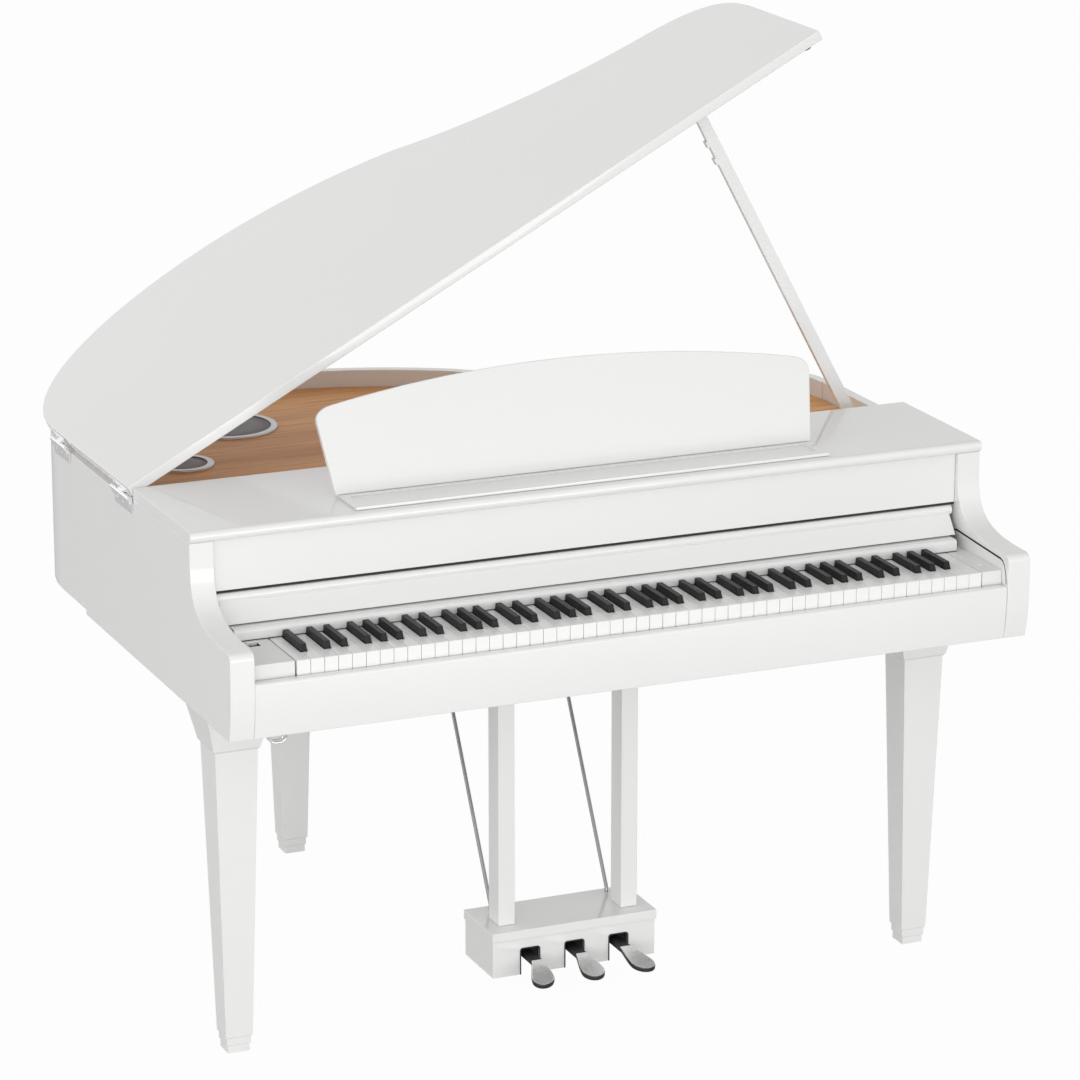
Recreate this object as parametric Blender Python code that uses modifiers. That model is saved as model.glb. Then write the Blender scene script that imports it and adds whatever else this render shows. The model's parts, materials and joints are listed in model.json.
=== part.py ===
"""A digital grand piano with its lid propped open.

Metres, +Z up. The origin is on the floor, under the middle of the piano's outline.
+X points to the treble end and +Y to the tail. A depth is measured from the front face
of the cheeks, and the function at_depth turns it into Y.
"""
import math

import bmesh
import bpy
from mathutils import Matrix, Vector

COLLECTION = "digital_grand_piano"

# Clearance between neighbours, how far a cutter reaches past what it cuts, and what counts as one point
GAP = 0.0003
CUT_MARGIN = 0.010
MERGE_DISTANCE = 0.00001

# Steps of curves and round shapes
CURVE_STEPS = 16
SCROLL_STEPS = 10
SHORT_CURVE_STEPS = 5
CORNER_STEPS = 4
HALF_ROUND_STEPS = 8
PEDAL_STEPS = 12
ARCH_STEPS = 20
CAPITAL_STEPS = 5
SPEAKER_STEPS = 24
BAR_SEGMENTS = 16
PIN_SEGMENTS = 12
BUTTON_SEGMENTS = 20

# Keyboard: 52 naturals and 36 sharps
NATURALS = 52
MIDDLE_C = 23
OCTAVE = 7
NOTE_LETTERS = "ABCDEFG"
KEY_PITCH = 0.02365
KEY_SPACE = 0.0008
KEY_LENGTH = 0.3695
KEY_THICKNESS = 0.0255
KEY_DIP = 0.010
PIVOT_SETBACK = 0.015
COMB_RAIL = 0.012
SHARP_WIDTH = 0.0112
SHARP_TOP_WIDTH = 0.0096
SHARP_HEIGHT = 0.012
SHARP_CLEARANCE = 0.0012
SHARP_SETBACK = 0.0405
SHARP_SLOPE = 0.0045
SHARP_HEAD_GAP = 0.002
SHARP_BAR_DROP = 0.001
SHARP_REAR_GAP = 0.0015
SHARP_RAIL_DEPTH = 0.016
SHARP_RAIL_LIFT = 0.0015
SHARP_RAIL_HEIGHT = 0.007
SHARP_RAIL_INSET = 0.001
WIDE_SHIFT = 0.004
NARROW_SHIFT = 0.003
SHARP_SHIFTS = {"A": WIDE_SHIFT, "C": -NARROW_SHIFT, "D": NARROW_SHIFT, "F": -WIDE_SHIFT, "G": 0.0}

# Across: a cheek and an end block at each end of the keys
CHEEK_THICKNESS = 0.0412
BASS_BLOCK_SPACE = 0.0778
TREBLE_BLOCK_SPACE = 0.0400
SIDE_THICKNESS = 0.020
KEYBOARD_WIDTH = NATURALS * KEY_PITCH
CASE_WIDTH = KEYBOARD_WIDTH + BASS_BLOCK_SPACE + TREBLE_BLOCK_SPACE + 2 * CHEEK_THICKNESS
HALF_WIDTH = CASE_WIDTH / 2
CHEEK_INNER = HALF_WIDTH - CHEEK_THICKNESS
INNER_HALF = CHEEK_INNER - GAP
SIDE_INNER = HALF_WIDTH - SIDE_THICKNESS
KEYBOARD_START = BASS_BLOCK_SPACE - CHEEK_INNER
KEYBOARD_END = KEYBOARD_START + KEYBOARD_WIDTH

# Upwards: the keybed, the keys, and the fascia between the keys and the lid
CASE_BOTTOM = 0.627
KEYBED_THICKNESS = 0.026
ACTION_HEIGHT = 0.0665
FASCIA_HEIGHT = 0.162
LID_THICKNESS = 0.019
PANEL_LAP = 0.0004
KEYBED_TOP = CASE_BOTTOM + KEYBED_THICKNESS
KEY_BOTTOM = KEYBED_TOP + ACTION_HEIGHT
KEY_TOP = KEY_BOTTOM + KEY_THICKNESS
LID_UNDERSIDE = KEY_TOP + FASCIA_HEIGHT
LID_TOP = LID_UNDERSIDE + LID_THICKNESS
PANEL_BOTTOM = LID_UNDERSIDE - PANEL_LAP
CHEEK_TOP = PANEL_BOTTOM - GAP

# Front to back: the depth of the case, and of the cheeks with all that lies between them
CASE_DEPTH = 1.227
CHEEK_DEPTH = 0.4714
TOP_PANEL_FRONT = 0.180
KEYBED_FRONT = 0.0193
KEY_FRONT_GAP = 0.0012
KEY_FRONT = KEYBED_FRONT + KEY_FRONT_GAP
KEY_REAR = KEY_FRONT + KEY_LENGTH
KEY_PIVOT = KEY_REAR - PIVOT_SETBACK

# Keybed rails, key slip and belly rail
STOP_RAIL_SETBACK = 0.0095
STOP_RAIL_DEPTH = 0.015
PIVOT_RAIL_HALF = 0.006
PIVOT_RAIL_INSET = 0.010
SLIP_FRONT = 0.002
SLIP_LAP = 0.001
SLIP_BEVEL = 0.003
BELLY_RAIL_THICKNESS = 0.020
SLIP_TOP = KEY_BOTTOM + SLIP_LAP

# Side profile of the cheeks: a toe, a rounded nose over the keys, and a scroll
TOE_DEPTH = 0.010
TOE_HEIGHT = 0.073
TOE_REACH_SHARE = 0.4
TOE_LOW_SHARE = 0.3
TOE_HIGH_SHARE = 0.7
NOSE_RADIUS = 0.014
NOSE_LIFT = 0.030
NOSE_FLAT_END = 0.030
SCROLL_SETBACK = 0.007
SCROLL_DROP = 0.039
SCROLL_HANDLE_FRONT = 0.037
SCROLL_HANDLE_LOW = 0.025
NOSE_TOP = KEY_TOP + NOSE_LIFT
SCROLL_DEPTH = TOP_PANEL_FRONT + SCROLL_SETBACK
SCROLL_TOP = LID_UNDERSIDE - SCROLL_DROP

# Front top panel, name panel and sliding key cover
TOP_PANEL_RADIUS = 0.0085
TOP_PANEL_OVERHANG = 0.0005
NAME_PANEL_SETBACK = 0.017
NAME_PANEL_THICKNESS = 0.015
NAME_PANEL_LIFT = 0.0045
COVER_SETBACK = 0.013
COVER_LENGTH = 0.192
COVER_LIFT = 0.069
COVER_THICKNESS = 0.0175
COVER_END_SPACE = 0.0058
COVER_SLOPE = 0.0528
FLAP_END_SPACE = 0.004
FLAP_SETBACK = 0.0045
FLAP_LEAN = 0.0255
FLAP_THICKNESS = 0.018
FLAP_SUNK = 0.004
FLAP_TIP_RISE = 0.0015
FLAP_CLEARANCE = 0.002
COVER_TOP = KEY_TOP + COVER_LIFT
COVER_FRONT = TOP_PANEL_FRONT + COVER_SETBACK
COVER_REAR = COVER_FRONT + COVER_LENGTH
COVER_HALF_LENGTH = CHEEK_INNER - COVER_END_SPACE
FLAP_HALF_LENGTH = COVER_HALF_LENGTH - FLAP_END_SPACE
FLAP_TOP_DEPTH = COVER_FRONT + FLAP_SETBACK
FLAP_TIP_DEPTH = FLAP_TOP_DEPTH - FLAP_LEAN
NAME_PANEL_FRONT = TOP_PANEL_FRONT + NAME_PANEL_SETBACK
NAME_PANEL_BOTTOM = COVER_TOP + NAME_PANEL_LIFT

# Strip behind the visible part of the keys, reaching under the flap
STRIP_LAP = 0.012
STRIP_DEPTH = 0.035
STRIP_HEIGHT = 0.0202
STRIP_RADIUS = 0.006
STRIP_END_SPACE = 0.0188
STRIP_REAR = FLAP_TIP_DEPTH + STRIP_LAP
STRIP_FRONT = STRIP_REAR - STRIP_DEPTH
STRIP_BOTTOM = KEY_TOP + GAP
STRIP_TOP = STRIP_BOTTOM + STRIP_HEIGHT
STRIP_HALF_LENGTH = CHEEK_INNER - STRIP_END_SPACE
FLAP_TIP_HEIGHT = STRIP_TOP + FLAP_CLEARANCE
SHARP_FRONT = KEY_FRONT + SHARP_SETBACK
SHARP_HEAD_END = STRIP_FRONT - SHARP_HEAD_GAP
SHARP_TOP = KEY_TOP + SHARP_HEIGHT
SHARP_BAR_TOP = KEY_TOP - SHARP_BAR_DROP
SHARP_REAR = KEY_REAR - COMB_RAIL - SHARP_REAR_GAP

# Pins at the flap's tip and their grooves in the cheeks
COVER_PIN_SETBACK = 0.0176
COVER_PIN_LIFT = 0.0033
COVER_PIN_RADIUS = 0.0015
COVER_PIN_REACH = 0.003
COVER_PIN_SUNK = 0.004
GROOVE_DEEP = 0.004
GROOVE_FRONT = 0.0287
GROOVE_END = 0.009
GROOVE_END_DROP = 0.022
GROOVE_HANDLE_FRONT = 0.012
GROOVE_HANDLE_END = 0.018
COVER_PIN_DEPTH = FLAP_TIP_DEPTH + COVER_PIN_SETBACK
COVER_PIN_HEIGHT = FLAP_TIP_HEIGHT + COVER_PIN_LIFT
GROOVE_FRONT_HEIGHT = COVER_PIN_HEIGHT - COVER_SLOPE * (COVER_PIN_DEPTH - GROOVE_FRONT)
GROOVE_END_HEIGHT = KEY_TOP - GROOVE_END_DROP

# End blocks with the volume slider and two buttons
BLOCK_SETBACK = 0.002
BLOCK_SPACE = 0.002
BLOCK_BEVEL = 0.0015
SLIDER_INSET = 0.035
SLIDER_WIDTH = 0.019
SLIDER_SPACE = 0.010
SLOT_LENGTH = 0.022
SLOT_DEEP = 0.005
KNOB_LENGTH = 0.0055
KNOB_PROUD = 0.0025
KNOB_BEVEL = 0.0008
POWER_BUTTON_INSET = 0.0127
POWER_BUTTON_DEPTH = 0.1172
FUNCTION_BUTTON_INSET = 0.0189
FUNCTION_BUTTON_DEPTH = 0.0613
BUTTON_RADIUS = 0.004
BUTTON_PROUD = 0.0013
BUTTON_TRAVEL = 0.001
BUTTON_SUNK = 0.0047
BLOCK_FRONT = KEY_FRONT + BLOCK_SETBACK
SLIDER_X = KEYBOARD_START - SLIDER_INSET
SLOT_REAR = STRIP_FRONT - SLIDER_SPACE
SLOT_FRONT = SLOT_REAR - SLOT_LENGTH
BUTTON_PLACES = {
    "power_button": (KEYBOARD_END + POWER_BUTTON_INSET, POWER_BUTTON_DEPTH),
    "function_button": (KEYBOARD_END + FUNCTION_BUTTON_INSET, FUNCTION_BUTTON_DEPTH),
}

# Plan of the lid: straight bass side, tail, bent side, treble corner
LID_SPACE = 0.0012
BASS_CURVE_LENGTH = 0.3355
BASS_CURVE_HANDLE = 0.205
TAIL_INSET = 0.454
TAIL_HANDLE_BASS = 0.251
TAIL_HANDLE_TREBLE = 0.212
BEND_INSET = 0.598
BEND_SETBACK = 0.118
BEND_ANGLE = 41.0
BEND_HANDLE_IN = 0.003
BEND_HANDLE_OUT = 0.116
HIP_INSET = 0.157
HIP_SETBACK = 0.320
HIP_ANGLE = 9.5
HIP_HANDLE_IN = 0.189
HIP_HANDLE_OUT = 0.125
TREBLE_CORNER_SETBACK = 0.495
TREBLE_CORNER_HANDLE = 0.107
LID_BEVEL = 0.0025
LID_FRONT = CHEEK_DEPTH + LID_SPACE
BASS_STRAIGHT_END = CASE_DEPTH - BASS_CURVE_LENGTH
TREBLE_STRAIGHT_END = CASE_DEPTH - TREBLE_CORNER_SETBACK
TAIL_X = TAIL_INSET - HALF_WIDTH

# Thin ends of the sides, the rim behind them and the boards inside
SIDE_OVERRUN = 0.018
RIM_THICKNESS = 0.020
RIM_DROP = 0.0085
RIM_LIFT = 0.007
RIM_SIDE_INSET = 0.0015
RIM_TAIL_INSET = 0.007
SOUNDBOARD_DROP = 0.040
SOUNDBOARD_THICKNESS = 0.012
BOTTOM_BOARD_THICKNESS = 0.015
SIDE_END = TREBLE_STRAIGHT_END + SIDE_OVERRUN
RIM_TOP = LID_UNDERSIDE - RIM_DROP
RIM_BOTTOM = CASE_BOTTOM + RIM_LIFT
SOUNDBOARD_TOP = LID_UNDERSIDE - SOUNDBOARD_DROP

# Lid hinge axis, opening angle, hinge leaves and the lid's bumper
HINGE_OFFSET = 0.0075
LID_ANGLE = 28.15
FRONT_HINGE_SETBACK = 0.0009
FRONT_HINGE_LENGTH = 0.090
REAR_HINGE_INSET = 0.0745
REAR_HINGE_LENGTH = 0.080
LEAF_THICKNESS = 0.0022
CASE_LEAF_HEIGHT = 0.020
CASE_LEAF_RISE = 0.002
LID_LEAF_HEIGHT = 0.016
LID_LEAF_LIFT = 0.0015
LEAF_WEB = 0.0035
WEB_SUNK = 0.0005
KNUCKLE_RADIUS = 0.004
HINGE_PIN_RADIUS = 0.0018
HINGE_PIN_INSET = 0.001
BUMPER_INSET = 0.026
BUMPER_SETBACK = 0.0209
BUMPER_RADIUS = 0.007
BUMPER_HEIGHT = 0.007
HINGE_X = -HALF_WIDTH - HINGE_OFFSET
REAR_HINGE_START = BASS_STRAIGHT_END - REAR_HINGE_INSET
FRONT_HINGE_START = LID_FRONT + FRONT_HINGE_SETBACK
HINGE_SPANS = {
    "front": (FRONT_HINGE_START, FRONT_HINGE_START + FRONT_HINGE_LENGTH),
    "rear": (REAR_HINGE_START, REAR_HINGE_START + REAR_HINGE_LENGTH),
}

# Lid prop, square to the open lid, folding flat towards the bass over the soundboard
PROP_INSET = 0.053
PROP_LIFT = 0.0185
PROP_SETBACK = 0.0486
PROP_FOOT_WIDTH = 0.023
PROP_TIP_WIDTH = 0.020
PROP_THICKNESS = 0.011
PROP_PIN_RADIUS = 0.003
UPPER_CATCH_SETBACK = 0.0624
LOWER_CATCH_SETBACK = 0.0974
CATCH_SIZE = 0.012
CATCH_PROUD = 0.004
LUG_WIDTH = 0.024
LUG_THICKNESS = 0.005
LUG_HEIGHT = 0.0305
PROP_X = SIDE_INNER - PROP_INSET
PROP_DEPTH = CHEEK_DEPTH + PROP_SETBACK
PROP_HEIGHT = SOUNDBOARD_TOP + PROP_LIFT
LUG_TOP = SOUNDBOARD_TOP + LUG_HEIGHT
PROP_LENGTH = (math.sin(math.radians(LID_ANGLE)) * (PROP_X - HINGE_X)
               + math.cos(math.radians(LID_ANGLE)) * (LID_UNDERSIDE - PROP_HEIGHT) - GAP)
CATCH_PLACES = (PROP_LENGTH - LOWER_CATCH_SETBACK, PROP_LENGTH - UPPER_CATCH_SETBACK)

# Music rest, its tray and the stay behind it
REST_X = 0.004
REST_LEAN = 20.0
REST_THICKNESS = 0.012
REST_BEVEL = 0.002
REST_SETBACK = 0.0146
REST_PIVOT_LIFT = 0.008
REST_HEEL = 0.0067
REST_BOTTOM_HALF = 0.433
REST_FLARE = 0.016
REST_SHOULDER = 0.115
REST_SHOULDER_BULGE = 0.001
REST_SHOULDER_HANDLE = 0.016
REST_CORNER_WIDTH = 0.029
REST_CORNER_HEIGHT = 0.027
REST_CORNER_HANDLE = 0.015
REST_CORNER_DROP = 0.0025
REST_ARCH_RISE = 0.038
TRAY_INSET = 0.004
TRAY_SETBACK = 0.017
TRAY_DEPTH = 0.080
TRAY_THICKNESS = 0.0057
TRAY_BEVEL = 0.0015
TRAY_RECESS = 0.003
TRAY_RIM_FRONT = 0.023
TRAY_RIM_REAR = 0.009
TRAY_RIM_SIDE = 0.014
STAY_HINGE = 0.100
STAY_OFFSET = 0.004
STAY_SLOPE = 61.47
STAY_HALF_WIDTH = 0.030
STAY_THICKNESS = 0.005
STAY_PIN_RADIUS = 0.0015
EAR_THICKNESS = 0.004
EAR_HALF = 0.006
EAR_PROUD = 0.007
TRAY_FRONT = TOP_PANEL_FRONT + TRAY_SETBACK
TRAY_REAR = TRAY_FRONT + TRAY_DEPTH
TRAY_HALF = REST_BOTTOM_HALF - TRAY_INSET
REST_PIVOT_DEPTH = TRAY_REAR + REST_SETBACK
REST_PIVOT_HEIGHT = LID_TOP + REST_PIVOT_LIFT
REST_SHOULDER_HALF = REST_BOTTOM_HALF + REST_FLARE
REST_ARCH_HALF = REST_SHOULDER_HALF - REST_CORNER_WIDTH
REST_ARCH_END = REST_SHOULDER + REST_CORNER_HEIGHT
REST_ARCH_TOP = REST_ARCH_END + REST_ARCH_RISE

# Speakers in the soundboard, their insets from the sides and their setbacks from the tail
LARGE_SPEAKER_RADIUS = 0.090
SMALL_SPEAKER_RADIUS = 0.055
LARGE_BASS_INSET = 0.345
LARGE_BASS_SETBACK = 0.2398
SMALL_BASS_INSET = 0.1904
SMALL_BASS_SETBACK = 0.4472
LARGE_TREBLE_INSET = 0.495
LARGE_TREBLE_SETBACK = 0.437
SMALL_TREBLE_INSET = 0.315
SMALL_TREBLE_SETBACK = 0.527
SPEAKER_FLANGE = 0.0032
SPEAKER_RING = 0.014
RING_SLOPE = 0.002
RING_BEVEL = 0.001
SPEAKER_LIP = 0.009
BASKET_SPACE = 0.0008
LARGE_SPEAKER_DEEP = 0.067
MAGNET_SHARE = 0.55
SPEAKERS = {
    "speaker_large_bass": (LARGE_BASS_INSET - HALF_WIDTH, LARGE_BASS_SETBACK, LARGE_SPEAKER_RADIUS),
    "speaker_small_bass": (SMALL_BASS_INSET - HALF_WIDTH, SMALL_BASS_SETBACK, SMALL_SPEAKER_RADIUS),
    "speaker_large_treble": (HALF_WIDTH - LARGE_TREBLE_INSET, LARGE_TREBLE_SETBACK, LARGE_SPEAKER_RADIUS),
    "speaker_small_treble": (HALF_WIDTH - SMALL_TREBLE_INSET, SMALL_TREBLE_SETBACK, SMALL_SPEAKER_RADIUS),
}

# Amplifier inside the case, with the mains inlet in the bottom board
AMP_X = -0.100
AMP_WIDTH = 0.300
AMP_SETBACK = 0.1486
AMP_DEPTH = 0.180
AMP_HEIGHT = 0.050
INLET_OFFSET = 0.100
INLET_WIDTH = 0.050
INLET_SETBACK = 0.080
INLET_LENGTH = 0.030
INLET_SUNK = 0.005
SOCKET_WIDTH = 0.024
SOCKET_LENGTH = 0.016
SOCKET_DEEP = 0.012
AMP_FRONT = CHEEK_DEPTH + AMP_SETBACK
INLET_X = AMP_X + INLET_OFFSET
INLET_FRONT = AMP_FRONT + INLET_SETBACK
INLET_REAR = INLET_FRONT + INLET_LENGTH

# Legs: square, tapering down to a collar and a foot
FRONT_LEG_INSET = 0.083
FRONT_LEG_DEPTH = 0.253
REAR_LEG_OFFSET = 0.047
REAR_LEG_SETBACK = 0.110
FOOT_HALF = 0.0192
FOOT_HEIGHT = 0.0135
COLLAR_HALF = 0.0212
COLLAR_HEIGHT = 0.0153
COLLAR_BEVEL = 0.001
SHAFT_BOTTOM_HALF = 0.0236
SHAFT_TOP_HALF = 0.0371
CAPITAL_HEIGHT = 0.087
CAPITAL_STEP = 0.004
CAPITAL_FOOT_HALF = 0.0408
CAPITAL_HALF = 0.062
CAPITAL_FLARE = 1.05
FRONT_LEG_X = HALF_WIDTH - FRONT_LEG_INSET
REAR_LEG_X = TAIL_X + REAR_LEG_OFFSET
REAR_LEG_DEPTH = CASE_DEPTH - REAR_LEG_SETBACK
COLLAR_TOP = FOOT_HEIGHT + COLLAR_HEIGHT
CAPITAL_FOOT = CASE_BOTTOM - CAPITAL_HEIGHT
SHAFT_TOP = CAPITAL_FOOT - CAPITAL_STEP

# Pedal lyre: a box with three pedals, two posts and two rods
PEDAL_NAMES = ("pedal_soft", "pedal_sostenuto", "pedal_damper")
PEDAL_SPACING = 0.083
BOX_END_SPACE = 0.069
BOX_FRONT = 0.283
BOX_DEPTH = 0.125
BOX_BOTTOM = 0.037
BOX_HEIGHT = 0.067
PLATE_OVERHANG = 0.004
PLATE_THICKNESS = 0.0157
PLATE_SUNK = 0.001
PEDAL_TIP_HALF = 0.0205
PEDAL_NECK_HALF = 0.0105
PEDAL_REACH = 0.101
PEDAL_KNEE_REACH = 0.0304
PEDAL_SLOPE = 13.25
PEDAL_FAN = 11.0
PEDAL_TIP_HANDLE = 0.014
PEDAL_NECK_FLARE = 0.002
PEDAL_NECK_HANDLE = 0.014
PEDAL_LIFT = 0.0355
PEDAL_THICKNESS = 0.009
PEDAL_BEVEL = 0.002
PEDAL_PIVOT_SETBACK = 0.034
PEDAL_PIN_RADIUS = 0.003
PEDAL_HEEL = 0.006
PEDAL_SLOT_SPACE = 0.0064
PEDAL_SLOT_RISE = 0.0112
PEDAL_SLOT_CORNER = 0.0035
PEDAL_SLOT_DEEP = 0.005
POST_X = 0.115
POST_WIDTH = 0.0306
POST_SETBACK = 0.0265
POST_DEPTH = 0.0445
ROD_X = 0.110
ROD_RADIUS = 0.0035
ROD_FRONT_SETBACK = 0.013
ROD_REAR_SETBACK = 0.2036
ROD_STUB = 0.008
BOX_HALF = PEDAL_SPACING + BOX_END_SPACE
BOX_REAR = BOX_FRONT + BOX_DEPTH
BOX_TOP = BOX_BOTTOM + BOX_HEIGHT
PLATE_TOP = BOX_TOP + PLATE_THICKNESS
PEDAL_TIP = BOX_FRONT - PEDAL_REACH
PEDAL_SHOULDER = PEDAL_TIP + PEDAL_TIP_HALF
PEDAL_KNEE = BOX_FRONT - PEDAL_KNEE_REACH
PEDAL_TOP = BOX_BOTTOM + PEDAL_LIFT
PEDAL_PIVOT = BOX_REAR - PEDAL_PIVOT_SETBACK
PEDAL_REAR = PEDAL_PIVOT + PEDAL_HEEL
PEDAL_SLOT_HALF = PEDAL_NECK_HALF + PEDAL_SLOT_SPACE
PEDAL_SLOT_TOP = PEDAL_TOP + PEDAL_SLOT_RISE
PEDAL_SLOT_REAR = PEDAL_REAR + PEDAL_SLOT_DEEP
POST_FRONT = BOX_FRONT + POST_SETBACK
ROD_FRONT = BOX_REAR - ROD_FRONT_SETBACK
ROD_REAR = CHEEK_DEPTH + ROD_REAR_SETBACK

# Headphone hanger under the bass end of the keybed: a plate with a hook, a wire bent to a U
HANGER_X = -0.643
HANGER_SETBACK = 0.0032
HANGER_PLATE_HALF = 0.008
HANGER_PLATE_DEPTH = 0.020
HANGER_PLATE_THICKNESS = 0.0015
HOOK_WIRE_RADIUS = 0.0022
HOOK_HALF_WIDTH = 0.0055
HOOK_DROP = 0.0165
HOOK_TROUGH = 0.0155
HOOK_TROUGH_HANDLE = 0.006
HOOK_END_REACH = 0.0275
HOOK_END_DROP = 0.0115
HOOK_END_RISE = 50.0
HANGER_FRONT = KEYBED_FRONT + HANGER_SETBACK
HOOK_DEPTH = HANGER_FRONT + HANGER_PLATE_DEPTH / 2

WHITE_LACQUER = (0.83, 0.83, 0.81, 1.0), 0.12, 0.0
KEY_WHITE = (0.86, 0.86, 0.84, 1.0), 0.3, 0.0
KEY_BLACK = (0.015, 0.015, 0.016, 1.0), 0.35, 0.0
CHROME = (0.75, 0.75, 0.75, 1.0), 0.12, 1.0
SPRUCE = (0.78, 0.62, 0.42, 1.0), 0.45, 0.0
PRIMED_BOARD = (0.78, 0.78, 0.76, 1.0), 0.6, 0.0
BLACK_PLASTIC = (0.03, 0.03, 0.03, 1.0), 0.5, 0.0
SPEAKER_GREY = (0.20, 0.20, 0.20, 1.0), 0.5, 0.0
GREY_STEEL = (0.45, 0.46, 0.47, 1.0), 0.4, 0.8
RUBBER = (0.12, 0.12, 0.12, 1.0), 0.8, 0.0


def at_depth(depth):
    """Y of a point that lies this far behind the front of the cheeks."""
    return depth - CASE_DEPTH / 2


def clear_scene():
    for existing in list(bpy.data.objects):
        bpy.data.objects.remove(existing, do_unlink=True)


def new_collection(name):
    collection = bpy.data.collections.new(name)
    bpy.context.scene.collection.children.link(collection)
    return collection


clear_scene()
PARTS = new_collection(COLLECTION)
CUTTERS = new_collection("cutters")


def arc(centre, radius, start, end, steps):
    """Points on an arc, from the start angle to the end angle in degrees."""
    points = []
    for step in range(steps + 1):
        angle = math.radians(start + (end - start) * step / steps)
        points.append((centre[0] + radius * math.cos(angle), centre[1] + radius * math.sin(angle)))
    return points


def bezier(start, handle_out, handle_in, end, steps):
    """Points on a cubic curve, without its last one."""
    points = []
    for step in range(steps):
        t = step / steps
        weights = ((1 - t) ** 3, 3 * (1 - t) ** 2 * t, 3 * (1 - t) * t * t, t ** 3)
        corners = (start, handle_out, handle_in, end)
        points.append(tuple(sum(w * p[axis] for w, p in zip(weights, corners)) for axis in (0, 1)))
    return points


def path_normals(path):
    """Unit normals to the left of an open path of points."""
    normals = []
    for index in range(len(path)):
        before = path[max(index - 1, 0)]
        after = path[min(index + 1, len(path) - 1)]
        run = Vector((after[0] - before[0], after[1] - before[1])).normalized()
        normals.append((-run.y, run.x))
    return normals


def add_object(name, mesh, collection):
    mesh.validate()
    piece = bpy.data.objects.new(name, mesh)
    collection.objects.link(piece)
    if collection is CUTTERS:
        piece.hide_render = True
        piece.display_type = "WIRE"
    return piece


def mesh_from(name, shape):
    mesh = bpy.data.meshes.new(name)
    shape.to_mesh(mesh)
    shape.free()
    return mesh


def box(name, low, high, collection=None):
    """A box between two corners given as (X, depth, Z)."""
    shape = bmesh.new()
    bmesh.ops.create_cube(shape, size=1.0)
    size = [high[axis] - low[axis] for axis in range(3)]
    middle = [(high[axis] + low[axis]) / 2 for axis in range(3)]
    bmesh.ops.scale(shape, vec=size, verts=shape.verts)
    bmesh.ops.translate(shape, vec=(middle[0], at_depth(middle[1]), middle[2]), verts=shape.verts)
    return add_object(name, mesh_from(name, shape), collection or PARTS)


def cylinder(name, start, end, radius, segments=BAR_SEGMENTS, collection=None):
    """A round bar between two points given as (X, depth, Z)."""
    first = Vector((start[0], at_depth(start[1]), start[2]))
    last = Vector((end[0], at_depth(end[1]), end[2]))
    turn = (last - first).to_track_quat("Z", "Y").to_matrix().to_4x4()
    shape = bmesh.new()
    bmesh.ops.create_cone(
        shape, cap_ends=True, segments=segments, radius1=radius, radius2=radius,
        depth=(last - first).length, matrix=Matrix.Translation((first + last) / 2) @ turn)
    return add_object(name, mesh_from(name, shape), collection or PARTS)


def solid_from_curve(name, curve, place, collection):
    """Turn a filled or bevelled curve into a closed mesh and remove the curve."""
    guide = bpy.data.objects.new(name + "_curve", curve)
    CUTTERS.objects.link(guide)
    guide.matrix_world = place
    bpy.context.view_layer.update()
    depsgraph = bpy.context.evaluated_depsgraph_get()
    mesh = bpy.data.meshes.new_from_object(guide.evaluated_get(depsgraph))
    shape = bmesh.new()
    shape.from_mesh(mesh)
    bmesh.ops.remove_doubles(shape, verts=shape.verts, dist=MERGE_DISTANCE)
    bmesh.ops.dissolve_limit(
        shape, angle_limit=math.radians(0.05), verts=shape.verts, edges=shape.edges)
    bmesh.ops.recalc_face_normals(shape, faces=shape.faces)
    bmesh.ops.transform(shape, matrix=place, verts=shape.verts)
    bpy.data.objects.remove(guide, do_unlink=True)
    return add_object(name, mesh_from(name, shape), collection or PARTS)


def outline_curve(name, loop, thickness):
    curve = bpy.data.curves.new(name, "CURVE")
    curve.dimensions = "2D"
    curve.fill_mode = "BOTH"
    curve.extrude = thickness / 2
    spline = curve.splines.new("POLY")
    spline.points.add(len(loop) - 1)
    for point, place in zip(spline.points, loop):
        point.co = (place[0], place[1], 0.0, 1.0)
    spline.use_cyclic_u = True
    return curve


def plate(name, loop, bottom, top, collection=None):
    """An upright solid over an outline of (X, depth) points."""
    loop = [(x, at_depth(depth)) for x, depth in loop]
    place = Matrix.Translation((0, 0, (bottom + top) / 2))
    return solid_from_curve(name, outline_curve(name, loop, top - bottom), place, collection)


def profile_along_x(name, loop, start, end, collection=None):
    """A side profile of (depth, Z) points carried along X."""
    loop = [(at_depth(depth), z) for depth, z in loop]
    turn = Matrix.Rotation(math.pi / 2, 4, "Z") @ Matrix.Rotation(math.pi / 2, 4, "X")
    place = Matrix.Translation(((start + end) / 2, 0, 0)) @ turn
    return solid_from_curve(name, outline_curve(name, loop, end - start), place, collection)


def profile_along_depth(name, loop, front, rear, collection=None):
    """A front profile of (X, Z) points carried from one depth to another."""
    turn = Matrix.Rotation(math.pi / 2, 4, "X")
    place = Matrix.Translation((0, at_depth((front + rear) / 2), 0)) @ turn
    return solid_from_curve(name, outline_curve(name, loop, rear - front), place, collection)


def tube(name, route, radius, collection=None):
    """A round wire through points given as (X, depth, Z)."""
    curve = bpy.data.curves.new(name, "CURVE")
    curve.dimensions = "3D"
    curve.bevel_depth = radius
    curve.bevel_resolution = 2
    curve.use_fill_caps = True
    spline = curve.splines.new("POLY")
    spline.points.add(len(route) - 1)
    for point, place in zip(spline.points, route):
        point.co = (place[0], at_depth(place[1]), place[2], 1.0)
    return solid_from_curve(name, curve, Matrix.Identity(4), collection)


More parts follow.
